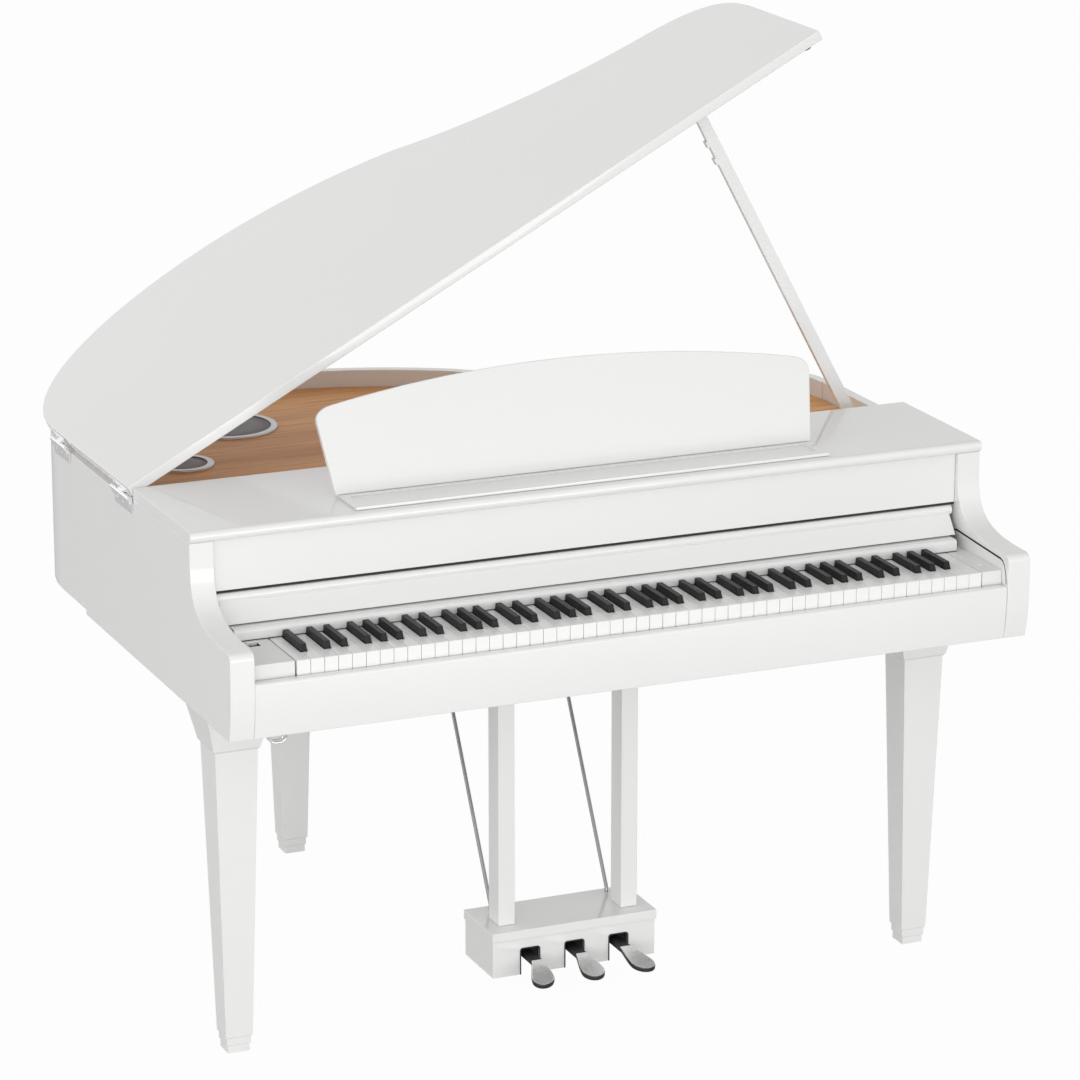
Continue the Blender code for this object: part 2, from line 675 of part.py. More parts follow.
def turned(name, profile, steps, place, collection=None):
    """A turned piece: the profile of (radius, Z) points runs from its top to its bottom."""
    shape = bmesh.new()
    rings = [shape.verts.new((radius, 0.0, z)) for radius, z in profile]
    for upper, lower in zip(rings, rings[1:]):
        shape.edges.new((upper, lower))
    piece = add_object(name, mesh_from(name, shape), collection or PARTS)
    screw = piece.modifiers.new("turning", "SCREW")
    screw.axis = "Z"
    screw.steps = steps
    screw.render_steps = steps
    screw.use_merge_vertices = True
    screw.merge_threshold = MERGE_DISTANCE
    screw.use_smooth_shade = False
    piece.location = place
    return piece


def boolean(piece, other, operation):
    modifier = piece.modifiers.new(operation.lower(), "BOOLEAN")
    modifier.object = other
    modifier.operation = operation
    modifier.solver = "EXACT"


def cut(piece, other):
    boolean(piece, other, "DIFFERENCE")


def join(piece, other):
    boolean(piece, other, "UNION")


def bevel(piece, width, segments=2, angle=40.0):
    modifier = piece.modifiers.new("rounded_edges", "BEVEL")
    modifier.width = width
    modifier.segments = segments
    modifier.limit_method = "ANGLE"
    modifier.angle_limit = math.radians(angle)
    modifier.use_clamp_overlap = True


def finish(piece, look):
    colour, roughness, metallic = look
    material = bpy.data.materials.new(piece.name)
    material.use_nodes = True
    shader = material.node_tree.nodes["Principled BSDF"]
    shader.inputs["Base Color"].default_value = colour
    shader.inputs["Roughness"].default_value = roughness
    shader.inputs["Metallic"].default_value = metallic
    piece.data.materials.clear()
    piece.data.materials.append(material)
    return piece


def smooth(piece, angle=35.0):
    piece.data.shade_smooth()
    piece.data.set_sharp_from_angle(angle=math.radians(angle))


def set_origin(piece, x, depth, z):
    """Move the object's origin, leaving its shape in place."""
    place = Vector((x, at_depth(depth), z))
    piece.data.transform(Matrix.Translation(-place))
    piece.location = place


def lid_curve():
    """Plan of the case from the end of the bass side round to the end of the treble side."""
    bass = (-HALF_WIDTH, BASS_STRAIGHT_END)
    tail = (TAIL_X, CASE_DEPTH)
    bend = (HALF_WIDTH - BEND_INSET, CASE_DEPTH - BEND_SETBACK)
    hip = (HALF_WIDTH - HIP_INSET, CASE_DEPTH - HIP_SETBACK)
    corner = (HALF_WIDTH, TREBLE_STRAIGHT_END)
    bend_run = (math.cos(math.radians(BEND_ANGLE)), -math.sin(math.radians(BEND_ANGLE)))
    hip_run = (math.cos(math.radians(HIP_ANGLE)), -math.sin(math.radians(HIP_ANGLE)))

    def along(point, run, distance):
        return (point[0] + run[0] * distance, point[1] + run[1] * distance)

    points = bezier(bass, along(bass, (0, 1), BASS_CURVE_HANDLE),
                    along(tail, (-1, 0), TAIL_HANDLE_BASS), tail, CURVE_STEPS)
    points += bezier(tail, along(tail, (1, 0), TAIL_HANDLE_TREBLE),
                     along(bend, bend_run, -BEND_HANDLE_IN), bend, CURVE_STEPS)
    points += bezier(bend, along(bend, bend_run, BEND_HANDLE_OUT),
                     along(hip, hip_run, -HIP_HANDLE_IN), hip, CURVE_STEPS)
    points += bezier(hip, along(hip, hip_run, HIP_HANDLE_OUT),
                     along(corner, (0, 1), TREBLE_CORNER_HANDLE), corner, CURVE_STEPS)
    return points + [corner]


def case_curve(inward):
    """The case's plan inside the lid's overhang, moved inwards by a wall."""
    start = SIDE_END + GAP
    path = [(-HALF_WIDTH, start)]
    path += [point for point in lid_curve() if point[1] > start + RIM_THICKNESS]
    path.append((HALF_WIDTH, start))
    moved = []
    for point, normal in zip(path, path_normals(path)):
        inset = RIM_SIDE_INSET + (RIM_TAIL_INSET - RIM_SIDE_INSET) * normal[1] ** 2 + inward
        moved.append((point[0] - normal[0] * inset, point[1] - normal[1] * inset))
    moved[0] = (-HALF_WIDTH + RIM_SIDE_INSET + inward, start)
    moved[-1] = (HALF_WIDTH - RIM_SIDE_INSET - inward, start)
    return moved


def inside_outline(front, clearance):
    """Plan of a board that fills the case between the belly rail and the rim."""
    path = case_curve(RIM_THICKNESS + clearance)
    return [(path[0][0], front)] + path + [(path[-1][0], front)]


def cheek_profile():
    nose = (NOSE_RADIUS, NOSE_TOP - NOSE_RADIUS)
    scroll_foot = (NOSE_FLAT_END, NOSE_TOP)
    scroll_head = (SCROLL_DEPTH, SCROLL_TOP)
    loop = toe_curve(0.0, TOE_DEPTH)
    loop += arc(nose, NOSE_RADIUS, 180, 90, CORNER_STEPS)
    loop += bezier(scroll_foot, (SCROLL_DEPTH - SCROLL_HANDLE_FRONT, NOSE_TOP),
                   (SCROLL_DEPTH, NOSE_TOP + SCROLL_HANDLE_LOW), scroll_head, SCROLL_STEPS)
    loop += [scroll_head, (SCROLL_DEPTH, CHEEK_TOP), (CHEEK_DEPTH, CHEEK_TOP),
             (CHEEK_DEPTH, RIM_TOP), (SIDE_END, RIM_TOP), (SIDE_END, CASE_BOTTOM)]
    return loop


def toe_curve(face, toe):
    """The undercut at the bottom of the cheeks and the key slip, from the bottom up."""
    top = CASE_BOTTOM + TOE_HEIGHT
    start = (toe, CASE_BOTTOM)
    low = (face + TOE_REACH_SHARE * (toe - face), CASE_BOTTOM + TOE_LOW_SHARE * TOE_HEIGHT)
    high = (face, CASE_BOTTOM + TOE_HIGH_SHARE * TOE_HEIGHT)
    points = bezier(start, low, high, (face, top), CORNER_STEPS)
    return points + [(face, top)]


def groove_outline():
    """Band along the track of the key cover's pins."""
    half = COVER_PIN_RADIUS + GAP
    run = Vector((COVER_PIN_DEPTH - GROOVE_FRONT, COVER_PIN_HEIGHT - GROOVE_FRONT_HEIGHT)).normalized()
    rear = (COVER_PIN_DEPTH + run.x * half, COVER_PIN_HEIGHT + run.y * half)
    bend = (GROOVE_FRONT, GROOVE_FRONT_HEIGHT)
    end = (GROOVE_END, GROOVE_END_HEIGHT)
    leave = (bend[0] - run.x * GROOVE_HANDLE_FRONT, bend[1] - run.y * GROOVE_HANDLE_FRONT)
    arrive = (end[0], end[1] + GROOVE_HANDLE_END)
    path = [rear] + bezier(bend, leave, arrive, end, SHORT_CURVE_STEPS)
    path.append(end)
    normals = path_normals(path)
    left = [(p[0] + n[0] * half, p[1] + n[1] * half) for p, n in zip(path, normals)]
    right = [(p[0] - n[0] * half, p[1] - n[1] * half) for p, n in zip(path, normals)]
    return left + right[::-1]


def make_side(name, sign):
    inner, outer = sorted((sign * CHEEK_INNER, sign * HALF_WIDTH))
    piece = profile_along_x(name, cheek_profile(), inner, outer)
    edges = sorted((sign * (CHEEK_INNER - CUT_MARGIN), sign * SIDE_INNER))
    waste = box(name + "_waste", (edges[0], CHEEK_DEPTH, CASE_BOTTOM - CUT_MARGIN),
                (edges[1], SIDE_END + CUT_MARGIN, LID_TOP), CUTTERS)
    cut(piece, waste)
    start, end = sorted((sign * (CHEEK_INNER - CUT_MARGIN), sign * (CHEEK_INNER + GROOVE_DEEP)))
    cut(piece, profile_along_x(name + "_groove", groove_outline(), start, end, CUTTERS))
    finish(piece, WHITE_LACQUER)


def make_rim():
    outer = case_curve(0.0)
    inner = case_curve(RIM_THICKNESS)
    piece = plate("rim", outer + inner[::-1], RIM_BOTTOM, RIM_TOP)
    finish(piece, WHITE_LACQUER)


def make_keybed():
    piece = box("keybed", (-INNER_HALF, KEYBED_FRONT, CASE_BOTTOM), (INNER_HALF, CHEEK_DEPTH, KEYBED_TOP))
    stop_top = KEY_BOTTOM - KEY_DIP - GAP
    sunk = KEYBED_THICKNESS / 4
    front = KEY_FRONT + STOP_RAIL_SETBACK
    stop = box("keybed_stop_rail", (KEYBOARD_START, front, KEYBED_TOP - sunk),
               (KEYBOARD_END, front + STOP_RAIL_DEPTH, stop_top), CUTTERS)
    half = INNER_HALF - PIVOT_RAIL_INSET
    pivot = box("keybed_pivot_rail", (-half, KEY_PIVOT - PIVOT_RAIL_HALF, KEYBED_TOP - sunk),
                (half, KEY_PIVOT + PIVOT_RAIL_HALF, KEY_BOTTOM - GAP), CUTTERS)
    join(piece, stop)
    join(piece, pivot)
    finish(piece, WHITE_LACQUER)


def make_key_slip():
    rear = KEYBED_FRONT - GAP
    loop = toe_curve(SLIP_FRONT, TOE_DEPTH)
    loop += [(SLIP_FRONT, SLIP_TOP - SLIP_BEVEL), (SLIP_FRONT + SLIP_BEVEL, SLIP_TOP),
             (rear, SLIP_TOP), (rear, CASE_BOTTOM)]
    finish(profile_along_x("key_slip", loop, -INNER_HALF, INNER_HALF), WHITE_LACQUER)


def make_bottom_board():
    piece = plate("bottom_board", inside_outline(CHEEK_DEPTH + GAP, GAP), RIM_BOTTOM,
                  RIM_BOTTOM + BOTTOM_BOARD_THICKNESS)
    half = INLET_WIDTH / 2 + GAP
    cut(piece, box("inlet_opening", (INLET_X - half, INLET_FRONT - GAP, RIM_BOTTOM - CUT_MARGIN),
                   (INLET_X + half, INLET_REAR + GAP, RIM_BOTTOM + BOTTOM_BOARD_THICKNESS + CUT_MARGIN),
                   CUTTERS))
    finish(piece, PRIMED_BOARD)


def make_belly_rail():
    piece = box("belly_rail", (-INNER_HALF, CHEEK_DEPTH - BELLY_RAIL_THICKNESS, KEYBED_TOP + GAP),
                (INNER_HALF, CHEEK_DEPTH, CHEEK_TOP))
    finish(piece, PRIMED_BOARD)


def make_soundboard():
    bottom = SOUNDBOARD_TOP - SOUNDBOARD_THICKNESS
    piece = plate("soundboard", inside_outline(CHEEK_DEPTH + GAP, GAP), bottom, SOUNDBOARD_TOP)
    for name, (x, setback, radius) in SPEAKERS.items():
        depth = CASE_DEPTH - setback
        hole = radius - SPEAKER_LIP + BASKET_SPACE
        cut(piece, cylinder(name + "_hole", (x, depth, bottom - CUT_MARGIN),
                            (x, depth, SOUNDBOARD_TOP + CUT_MARGIN), hole, SPEAKER_STEPS, CUTTERS))
    for sign in (-1, 1):
        near = PROP_DEPTH + sign * (PROP_THICKNESS / 2 + GAP)
        far = near + sign * LUG_THICKNESS
        lug = box("prop_lug_front" if sign < 0 else "prop_lug_rear",
                  (PROP_X - LUG_WIDTH / 2, min(near, far), bottom + SOUNDBOARD_THICKNESS / 2),
                  (PROP_X + LUG_WIDTH / 2, max(near, far), LUG_TOP), CUTTERS)
        join(piece, lug)
    reach = PROP_THICKNESS / 2 + LUG_THICKNESS + CUT_MARGIN
    cut(piece, cylinder("prop_pin_hole", (PROP_X, PROP_DEPTH - reach, PROP_HEIGHT),
                        (PROP_X, PROP_DEPTH + reach, PROP_HEIGHT), PROP_PIN_RADIUS + GAP,
                        BAR_SEGMENTS, CUTTERS))
    finish(piece, SPRUCE)


def make_front_top_panel():
    front, bottom, top = TOP_PANEL_FRONT, PANEL_BOTTOM, LID_TOP
    radius = TOP_PANEL_RADIUS
    loop = arc((front + radius, bottom + radius), radius, 270, 180, CORNER_STEPS)
    loop += arc((front + radius, top - radius), radius, 180, 90, CORNER_STEPS)
    loop += [(CHEEK_DEPTH, top), (CHEEK_DEPTH, bottom)]
    half = HALF_WIDTH + TOP_PANEL_OVERHANG
    finish(profile_along_x("front_top_panel", loop, -half, half), WHITE_LACQUER)


def make_name_panel():
    piece = box("name_panel", (-INNER_HALF, NAME_PANEL_FRONT, NAME_PANEL_BOTTOM),
                (INNER_HALF, NAME_PANEL_FRONT + NAME_PANEL_THICKNESS, CHEEK_TOP))
    finish(piece, WHITE_LACQUER)


def make_key_cover():
    radius = COVER_THICKNESS / 2
    bottom = COVER_TOP - COVER_THICKNESS
    loop = arc((COVER_FRONT + radius, COVER_TOP - radius), radius, 90, 270, HALF_ROUND_STEPS)
    loop += [(COVER_REAR, bottom), (COVER_REAR, COVER_TOP)]
    piece = profile_along_x("key_cover", loop, -COVER_HALF_LENGTH, COVER_HALF_LENGTH)
    inside = bottom + FLAP_SUNK
    flap = [(FLAP_TOP_DEPTH, inside), (FLAP_TIP_DEPTH, FLAP_TIP_HEIGHT),
            (FLAP_TIP_DEPTH + FLAP_THICKNESS, FLAP_TIP_HEIGHT + FLAP_TIP_RISE),
            (FLAP_TOP_DEPTH + FLAP_THICKNESS, inside)]
    join(piece, profile_along_x("key_cover_flap", flap, -FLAP_HALF_LENGTH, FLAP_HALF_LENGTH, CUTTERS))
    for sign in (-1, 1):
        join(piece, cylinder("cover_pin_bass" if sign < 0 else "cover_pin_treble",
                             (sign * (FLAP_HALF_LENGTH - COVER_PIN_SUNK), COVER_PIN_DEPTH, COVER_PIN_HEIGHT),
                             (sign * (CHEEK_INNER + COVER_PIN_REACH), COVER_PIN_DEPTH, COVER_PIN_HEIGHT),
                             COVER_PIN_RADIUS, PIN_SEGMENTS, CUTTERS))
    finish(piece, WHITE_LACQUER)


def make_key_back_strip():
    loop = arc((STRIP_FRONT + STRIP_RADIUS, STRIP_TOP - STRIP_RADIUS), STRIP_RADIUS, 90, 180, CORNER_STEPS)
    loop += [(STRIP_FRONT, STRIP_BOTTOM), (STRIP_REAR, STRIP_BOTTOM), (STRIP_REAR, STRIP_TOP)]
    piece = profile_along_x("key_back_strip", loop, -STRIP_HALF_LENGTH, STRIP_HALF_LENGTH)
    finish(piece, WHITE_LACQUER)


def make_end_blocks():
    low = (-INNER_HALF, BLOCK_FRONT, KEYBED_TOP + GAP)
    high = (KEYBOARD_START - BLOCK_SPACE, STRIP_REAR, KEY_TOP)
    bass = box("end_block_bass", low, high)
    bevel(bass, BLOCK_BEVEL)
    half = SLIDER_WIDTH / 2
    cut(bass, box("slider_slot", (SLIDER_X - half, SLOT_FRONT, KEY_TOP - SLOT_DEEP),
                  (SLIDER_X + half, SLOT_REAR, KEY_TOP + CUT_MARGIN), CUTTERS))
    finish(bass, WHITE_LACQUER)
    low = (KEYBOARD_END + BLOCK_SPACE, BLOCK_FRONT, KEYBED_TOP + GAP)
    high = (INNER_HALF, STRIP_REAR, KEY_TOP)
    treble = box("end_block_treble", low, high)
    bevel(treble, BLOCK_BEVEL)
    for name, (x, depth) in BUTTON_PLACES.items():
        floor = KEY_TOP - BUTTON_SUNK - BUTTON_TRAVEL - GAP
        cut(treble, cylinder(name + "_hole", (x, depth, floor), (x, depth, KEY_TOP + CUT_MARGIN),
                             BUTTON_RADIUS + GAP, BUTTON_SEGMENTS, CUTTERS))
    finish(treble, WHITE_LACQUER)


def make_controls():
    half = SLIDER_WIDTH / 2 - GAP
    rear = SLOT_REAR - GAP
    knob = box("volume_slider", (SLIDER_X - half, rear - KNOB_LENGTH, KEY_TOP - SLOT_DEEP + GAP),
               (SLIDER_X + half, rear, KEY_TOP + KNOB_PROUD))
    bevel(knob, KNOB_BEVEL)
    set_origin(knob, SLIDER_X, rear - KNOB_LENGTH / 2, KEY_TOP)
    finish(knob, KEY_WHITE)
    for name, (x, depth) in BUTTON_PLACES.items():
        button = cylinder(name, (x, depth, KEY_TOP - BUTTON_SUNK), (x, depth, KEY_TOP + BUTTON_PROUD),
                          BUTTON_RADIUS, BUTTON_SEGMENTS)
        smooth(button)
        set_origin(button, x, depth, KEY_TOP)
        finish(button, KEY_WHITE)


def letter_of(natural):
    return NOTE_LETTERS[natural % OCTAVE]


def has_sharp_above(natural):
    return 0 <= natural < NATURALS - 1 and letter_of(natural) in SHARP_SHIFTS


def sharp_centre(natural):
    """X of the sharp between this natural and the next one."""
    return KEYBOARD_START + (natural + 1) * KEY_PITCH + SHARP_SHIFTS[letter_of(natural)]


def natural_edges(natural):
    """Left and right of a natural's head, then of its tail between the sharps."""
    head_left = KEYBOARD_START + natural * KEY_PITCH + KEY_SPACE / 2
    head_right = head_left + KEY_PITCH - KEY_SPACE
    reach = SHARP_WIDTH / 2 + SHARP_CLEARANCE
    tail_left = sharp_centre(natural - 1) + reach if has_sharp_above(natural - 1) else head_left
    tail_right = sharp_centre(natural) - reach if has_sharp_above(natural) else head_right
    return head_left, head_right, tail_left, tail_right


def make_naturals(name, naturals):
    """One natural, or a run of them that share a rail behind the pivot."""
    notch = SHARP_FRONT - SHARP_CLEARANCE
    rail = KEY_REAR - COMB_RAIL
    loop = []
    for natural in naturals:
        head_left, head_right, tail_left, tail_right = natural_edges(natural)
        loop += [(tail_left, rail)]
        if tail_left > head_left:
            loop += [(tail_left, notch), (head_left, notch)]
        loop += [(head_left, KEY_FRONT), (head_right, KEY_FRONT)]
        if tail_right < head_right:
            loop += [(head_right, notch), (tail_right, notch)]
        loop += [(tail_right, rail)]
    loop += [(loop[-1][0], KEY_REAR), (loop[0][0], KEY_REAR)]
    piece = plate(name, loop, KEY_BOTTOM, KEY_TOP)
    set_origin(piece, 0.0, KEY_PIVOT, KEY_BOTTOM)
    finish(piece, KEY_WHITE)


def narrow_head(piece, centre):
    """Slope the sides of a sharp's head, from the naturals' level up to its narrower top."""
    shape = bmesh.new()
    shape.from_mesh(piece.data)
    bmesh.ops.bisect_plane(shape, geom=shape.verts[:] + shape.edges[:] + shape.faces[:],
                           plane_co=(0, 0, KEY_TOP), plane_no=(0, 0, 1))
    for corner in shape.verts:
        if corner.co.z > SHARP_TOP - GAP:
            corner.co.x = centre + (corner.co.x - centre) * SHARP_TOP_WIDTH / SHARP_WIDTH
    shape.to_mesh(piece.data)
    shape.free()


def sharp_solid(name, centre, collection):
    """One sharp: a black head over a bar that runs back under the strip to the pivot."""
    rail_front = SHARP_REAR - SHARP_RAIL_DEPTH
    rail_middle = KEY_TOP + SHARP_RAIL_LIFT + SHARP_RAIL_HEIGHT / 2
    loop = [(SHARP_FRONT, KEY_BOTTOM), (SHARP_FRONT, KEY_TOP), (SHARP_FRONT + SHARP_SLOPE, SHARP_TOP),
            (SHARP_HEAD_END, SHARP_TOP), (SHARP_HEAD_END + SHARP_BAR_DROP, SHARP_BAR_TOP),
            (rail_front, SHARP_BAR_TOP), (rail_front, rail_middle), (SHARP_REAR, rail_middle),
            (SHARP_REAR, KEY_BOTTOM)]
    half = SHARP_WIDTH / 2
    piece = profile_along_x(name, loop, centre - half, centre + half, collection)
    narrow_head(piece, centre)
    return piece


def make_sharps(name, naturals):
    """One sharp, or a run of them joined by a raised rail over the naturals' tails."""
    centres = [sharp_centre(natural) for natural in naturals if has_sharp_above(natural)]
    if len(centres) == 1:
        piece = sharp_solid(name, centres[0], PARTS)
    else:
        bottom = KEY_TOP + SHARP_RAIL_LIFT
        half = SHARP_WIDTH / 2 - SHARP_RAIL_INSET
        rear = SHARP_REAR - SHARP_RAIL_INSET
        front = SHARP_REAR - SHARP_RAIL_DEPTH + SHARP_RAIL_INSET
        piece = box(name, (centres[0] - half, front, bottom),
                    (centres[-1] + half, rear, bottom + SHARP_RAIL_HEIGHT))
        for number, centre in enumerate(centres):
            join(piece, sharp_solid(name + "_bar_%02d" % number, centre, CUTTERS))
    set_origin(piece, 0.0, KEY_PIVOT, KEY_BOTTOM)
    finish(piece, KEY_BLACK)


def make_keyboard():
    middle = range(MIDDLE_C, MIDDLE_C + OCTAVE)
    make_naturals("naturals_low", range(0, MIDDLE_C))
    make_naturals("naturals_high", range(MIDDLE_C + OCTAVE, NATURALS))
    make_sharps("sharps_low", range(0, MIDDLE_C))
    make_sharps("sharps_high", range(MIDDLE_C + OCTAVE, NATURALS))
    for natural in middle:
        letter = letter_of(natural).lower()
        make_naturals("key_%s4" % letter, [natural])
        if has_sharp_above(natural):
            make_sharps("key_%s4_sharp" % letter, [natural])


def make_lid():
    path = lid_curve()
    loop = [(-HALF_WIDTH, LID_FRONT)] + path + [(path[-1][0], LID_FRONT)]
    lid = plate("lid", loop, LID_UNDERSIDE, LID_TOP)
    bevel(lid, LID_BEVEL)
    finish(lid, WHITE_LACQUER)
    centre = (HALF_WIDTH - BUMPER_INSET, LID_FRONT + BUMPER_SETBACK)
    bumper = cylinder("lid_bumper", (*centre, LID_UNDERSIDE - GAP - BUMPER_HEIGHT),
                      (*centre, LID_UNDERSIDE - GAP), BUMPER_RADIUS)
    finish(bumper, RUBBER)
    axis = bpy.data.objects.new("lid_axis", None)
    PARTS.objects.link(axis)
    axis.location = (HINGE_X, at_depth(LID_FRONT), LID_UNDERSIDE)
    leaves = [make_lid_leaf(end) for end in HINGE_SPANS]
    for piece in [lid, bumper] + leaves:
        piece.data.transform(Matrix.Translation(-axis.location))
        piece.parent = axis
    for cutter in CUTTERS.objects:
        if cutter.name.startswith("lid_leaf"):
            cutter.data.transform(Matrix.Translation(-axis.location))
            cutter.parent = axis
    axis.rotation_euler = (0.0, -math.radians(LID_ANGLE), 0.0)


def make_lid_leaf(label):
    """The hinge leaf on the lid's edge, with the middle knuckle."""
    start, end = HINGE_SPANS[label]
    name = "lid_leaf_" + label
    third = (end - start) / 3
    wall = -HALF_WIDTH - GAP
    bottom = LID_UNDERSIDE + LID_LEAF_LIFT
    leaf = box(name, (wall - LEAF_THICKNESS, start, bottom), (wall, end, bottom + LID_LEAF_HEIGHT))
    first, last = start + third + GAP, end - third - GAP
    web = box(name + "_web", (HINGE_X, first, LID_UNDERSIDE), (wall, last, LID_UNDERSIDE + LEAF_WEB), CUTTERS)
    knuckle = cylinder(name + "_knuckle", (HINGE_X, first, LID_UNDERSIDE), (HINGE_X, last, LID_UNDERSIDE),
                       KNUCKLE_RADIUS, BAR_SEGMENTS, CUTTERS)
    bore = cylinder(name + "_bore", (HINGE_X, first - CUT_MARGIN, LID_UNDERSIDE),
                    (HINGE_X, last + CUT_MARGIN, LID_UNDERSIDE), HINGE_PIN_RADIUS + GAP,
                    PIN_SEGMENTS, CUTTERS)
    join(leaf, web)
    join(leaf, knuckle)
    cut(leaf, bore)
    return finish(leaf, CHROME)


def make_case_leaf(label):
    """The hinge leaf on the case, with the outer knuckles and the pin."""
    start, end = HINGE_SPANS[label]
    name = "case_leaf_" + label
    third = (end - start) / 3
    side = HALF_WIDTH if end < SIDE_END else HALF_WIDTH - RIM_SIDE_INSET
    face = -HALF_WIDTH - GAP
    top = RIM_TOP + CASE_LEAF_RISE
    leaf = box(name, (face - LEAF_THICKNESS, start, top - CASE_LEAF_HEIGHT), (-side - GAP, end, top))
    for place, first, last in (("near", start, start + third), ("far", end - third, end)):
        web = box(name + "_web_" + place, (HINGE_X, first, top - LEAF_WEB),
                  (face - WEB_SUNK, last, LID_UNDERSIDE), CUTTERS)
        knuckle = cylinder(name + "_knuckle_" + place, (HINGE_X, first, LID_UNDERSIDE),
                           (HINGE_X, last, LID_UNDERSIDE), KNUCKLE_RADIUS, BAR_SEGMENTS, CUTTERS)
        join(leaf, web)
        join(leaf, knuckle)
    pin = cylinder(name + "_pin", (HINGE_X, start + HINGE_PIN_INSET, LID_UNDERSIDE),
                   (HINGE_X, end - HINGE_PIN_INSET, LID_UNDERSIDE), HINGE_PIN_RADIUS, PIN_SEGMENTS, CUTTERS)
    join(leaf, pin)
    finish(leaf, CHROME)


def make_lid_prop():
    """A tapering bar square to the open lid, with its pin and two catches."""
    foot, tip = PROP_FOOT_WIDTH / 2, PROP_TIP_WIDTH / 2
    loop = arc((0, 0), foot, 180, 360, HALF_ROUND_STEPS)
    loop += [(tip, PROP_LENGTH)]
    for place in reversed(CATCH_PLACES):
        half = CATCH_SIZE / 2
        loop += [(-tip, place + half), (-tip - CATCH_PROUD, place + half),
                 (-tip - CATCH_PROUD, place - half), (-tip, place - half)]
    loop.insert(-4 * len(CATCH_PLACES), (-tip, PROP_LENGTH))
    piece = profile_along_depth("lid_prop", loop, PROP_DEPTH - PROP_THICKNESS / 2,
                                PROP_DEPTH + PROP_THICKNESS / 2)
    reach = PROP_THICKNESS / 2 + LUG_THICKNESS
    pin = cylinder("prop_pin", (0, PROP_DEPTH - reach, 0), (0, PROP_DEPTH + reach, 0),
                   PROP_PIN_RADIUS, BAR_SEGMENTS, CUTTERS)
    join(piece, pin)
    place = Vector((PROP_X, at_depth(PROP_DEPTH), PROP_HEIGHT))
    for shape in (piece, pin):
        shape.data.transform(Matrix.Translation((0, -at_depth(PROP_DEPTH), 0)))
        shape.rotation_euler = (0.0, -math.radians(LID_ANGLE), 0.0)
        shape.location = place
    finish(piece, WHITE_LACQUER)


def rest_matrix():
    turn = Matrix.Rotation(math.radians(90 - REST_LEAN), 4, "X")
    return Matrix.Translation((REST_X, at_depth(REST_PIVOT_DEPTH), REST_PIVOT_HEIGHT)) @ turn


def rest_top(x):
    """Height of the music rest's arched top edge at this X."""
    radius = (REST_ARCH_RISE ** 2 + REST_ARCH_HALF ** 2) / (2 * REST_ARCH_RISE)
    return REST_ARCH_TOP - radius + math.sqrt(radius ** 2 - x ** 2)


def rest_outline():
    arch = [REST_ARCH_HALF * (1 - 2 * step / ARCH_STEPS) for step in range(ARCH_STEPS + 1)]
    shoulder = (REST_SHOULDER_HALF, REST_SHOULDER)
    leave = (REST_SHOULDER_HALF + REST_SHOULDER_BULGE, REST_SHOULDER + REST_SHOULDER_HANDLE)
    arrive = (REST_ARCH_HALF + REST_CORNER_HANDLE, REST_ARCH_END - REST_CORNER_DROP)
    corner = bezier(shoulder, leave, arrive, (REST_ARCH_HALF, REST_ARCH_END), SHORT_CURVE_STEPS)
    loop = [(REST_BOTTOM_HALF, -REST_HEEL)] + corner
    loop += [(x, rest_top(x)) for x in arch]
    loop += [(-x, s) for x, s in reversed(corner)]
    return loop + [(-REST_BOTTOM_HALF, -REST_HEEL)]


def local_box(name, low, high, collection):
    """A box in the music rest's own plane."""
    piece = box(name, low, high, collection)
    piece.data.transform(Matrix.Translation((0, -at_depth(0), 0)))
    piece.matrix_world = rest_matrix()
    return piece


def local_bar(name, reach, place, radius, collection):
    piece = cylinder(name, (-reach, place[0], place[1]), (reach, place[0], place[1]), radius,
                     PIN_SEGMENTS, collection)
    piece.data.transform(Matrix.Translation((0, -at_depth(0), 0)))
    piece.matrix_world = rest_matrix()
    return piece


def make_music_rest():
    curve = outline_curve("music_rest", rest_outline(), REST_THICKNESS)
    place = Matrix.Translation((0, 0, REST_THICKNESS / 2))
    rest = solid_from_curve("music_rest", curve, place, PARTS)
    rest.matrix_world = rest_matrix()
    bevel(rest, REST_BEVEL)
    for sign in (-1, 1):
        near = sign * (STAY_HALF_WIDTH + GAP)
        far = near + sign * EAR_THICKNESS
        ear = local_box("rest_ear_bass" if sign < 0 else "rest_ear_treble",
                        (min(near, far), STAY_HINGE - EAR_HALF, -EAR_PROUD),
                        (max(near, far), STAY_HINGE + EAR_HALF, REST_THICKNESS / 2), CUTTERS)
        join(rest, ear)
    join(rest, local_bar("rest_pin", STAY_HALF_WIDTH + EAR_THICKNESS / 2, (STAY_HINGE, -STAY_OFFSET),
                         STAY_PIN_RADIUS, CUTTERS))
    finish(rest, WHITE_LACQUER)


def make_music_rest_stay():
    """A strut hinged behind the music rest, its foot on the front top panel."""
    hinge = rest_matrix() @ Vector((0, STAY_HINGE, -STAY_OFFSET))
    half = STAY_THICKNESS / 2
    rise = hinge.z - LID_TOP - GAP
    angle = math.radians(STAY_SLOPE)
    length = (rise - half * math.cos(angle)) / math.sin(angle)
    stay = box("music_rest_stay", (-STAY_HALF_WIDTH, -half, -half), (STAY_HALF_WIDTH, length, half))
    reach = STAY_HALF_WIDTH + CUT_MARGIN
    bore = cylinder("stay_bore", (-reach, 0, 0), (reach, 0, 0), STAY_PIN_RADIUS + GAP, PIN_SEGMENTS, CUTTERS)
    for shape in (stay, bore):
        shape.data.transform(Matrix.Translation((0, -at_depth(0), 0)))
        shape.matrix_world = Matrix.Translation(hinge) @ Matrix.Rotation(-angle, 4, "X")
    cut(stay, bore)
    finish(stay, GREY_STEEL)


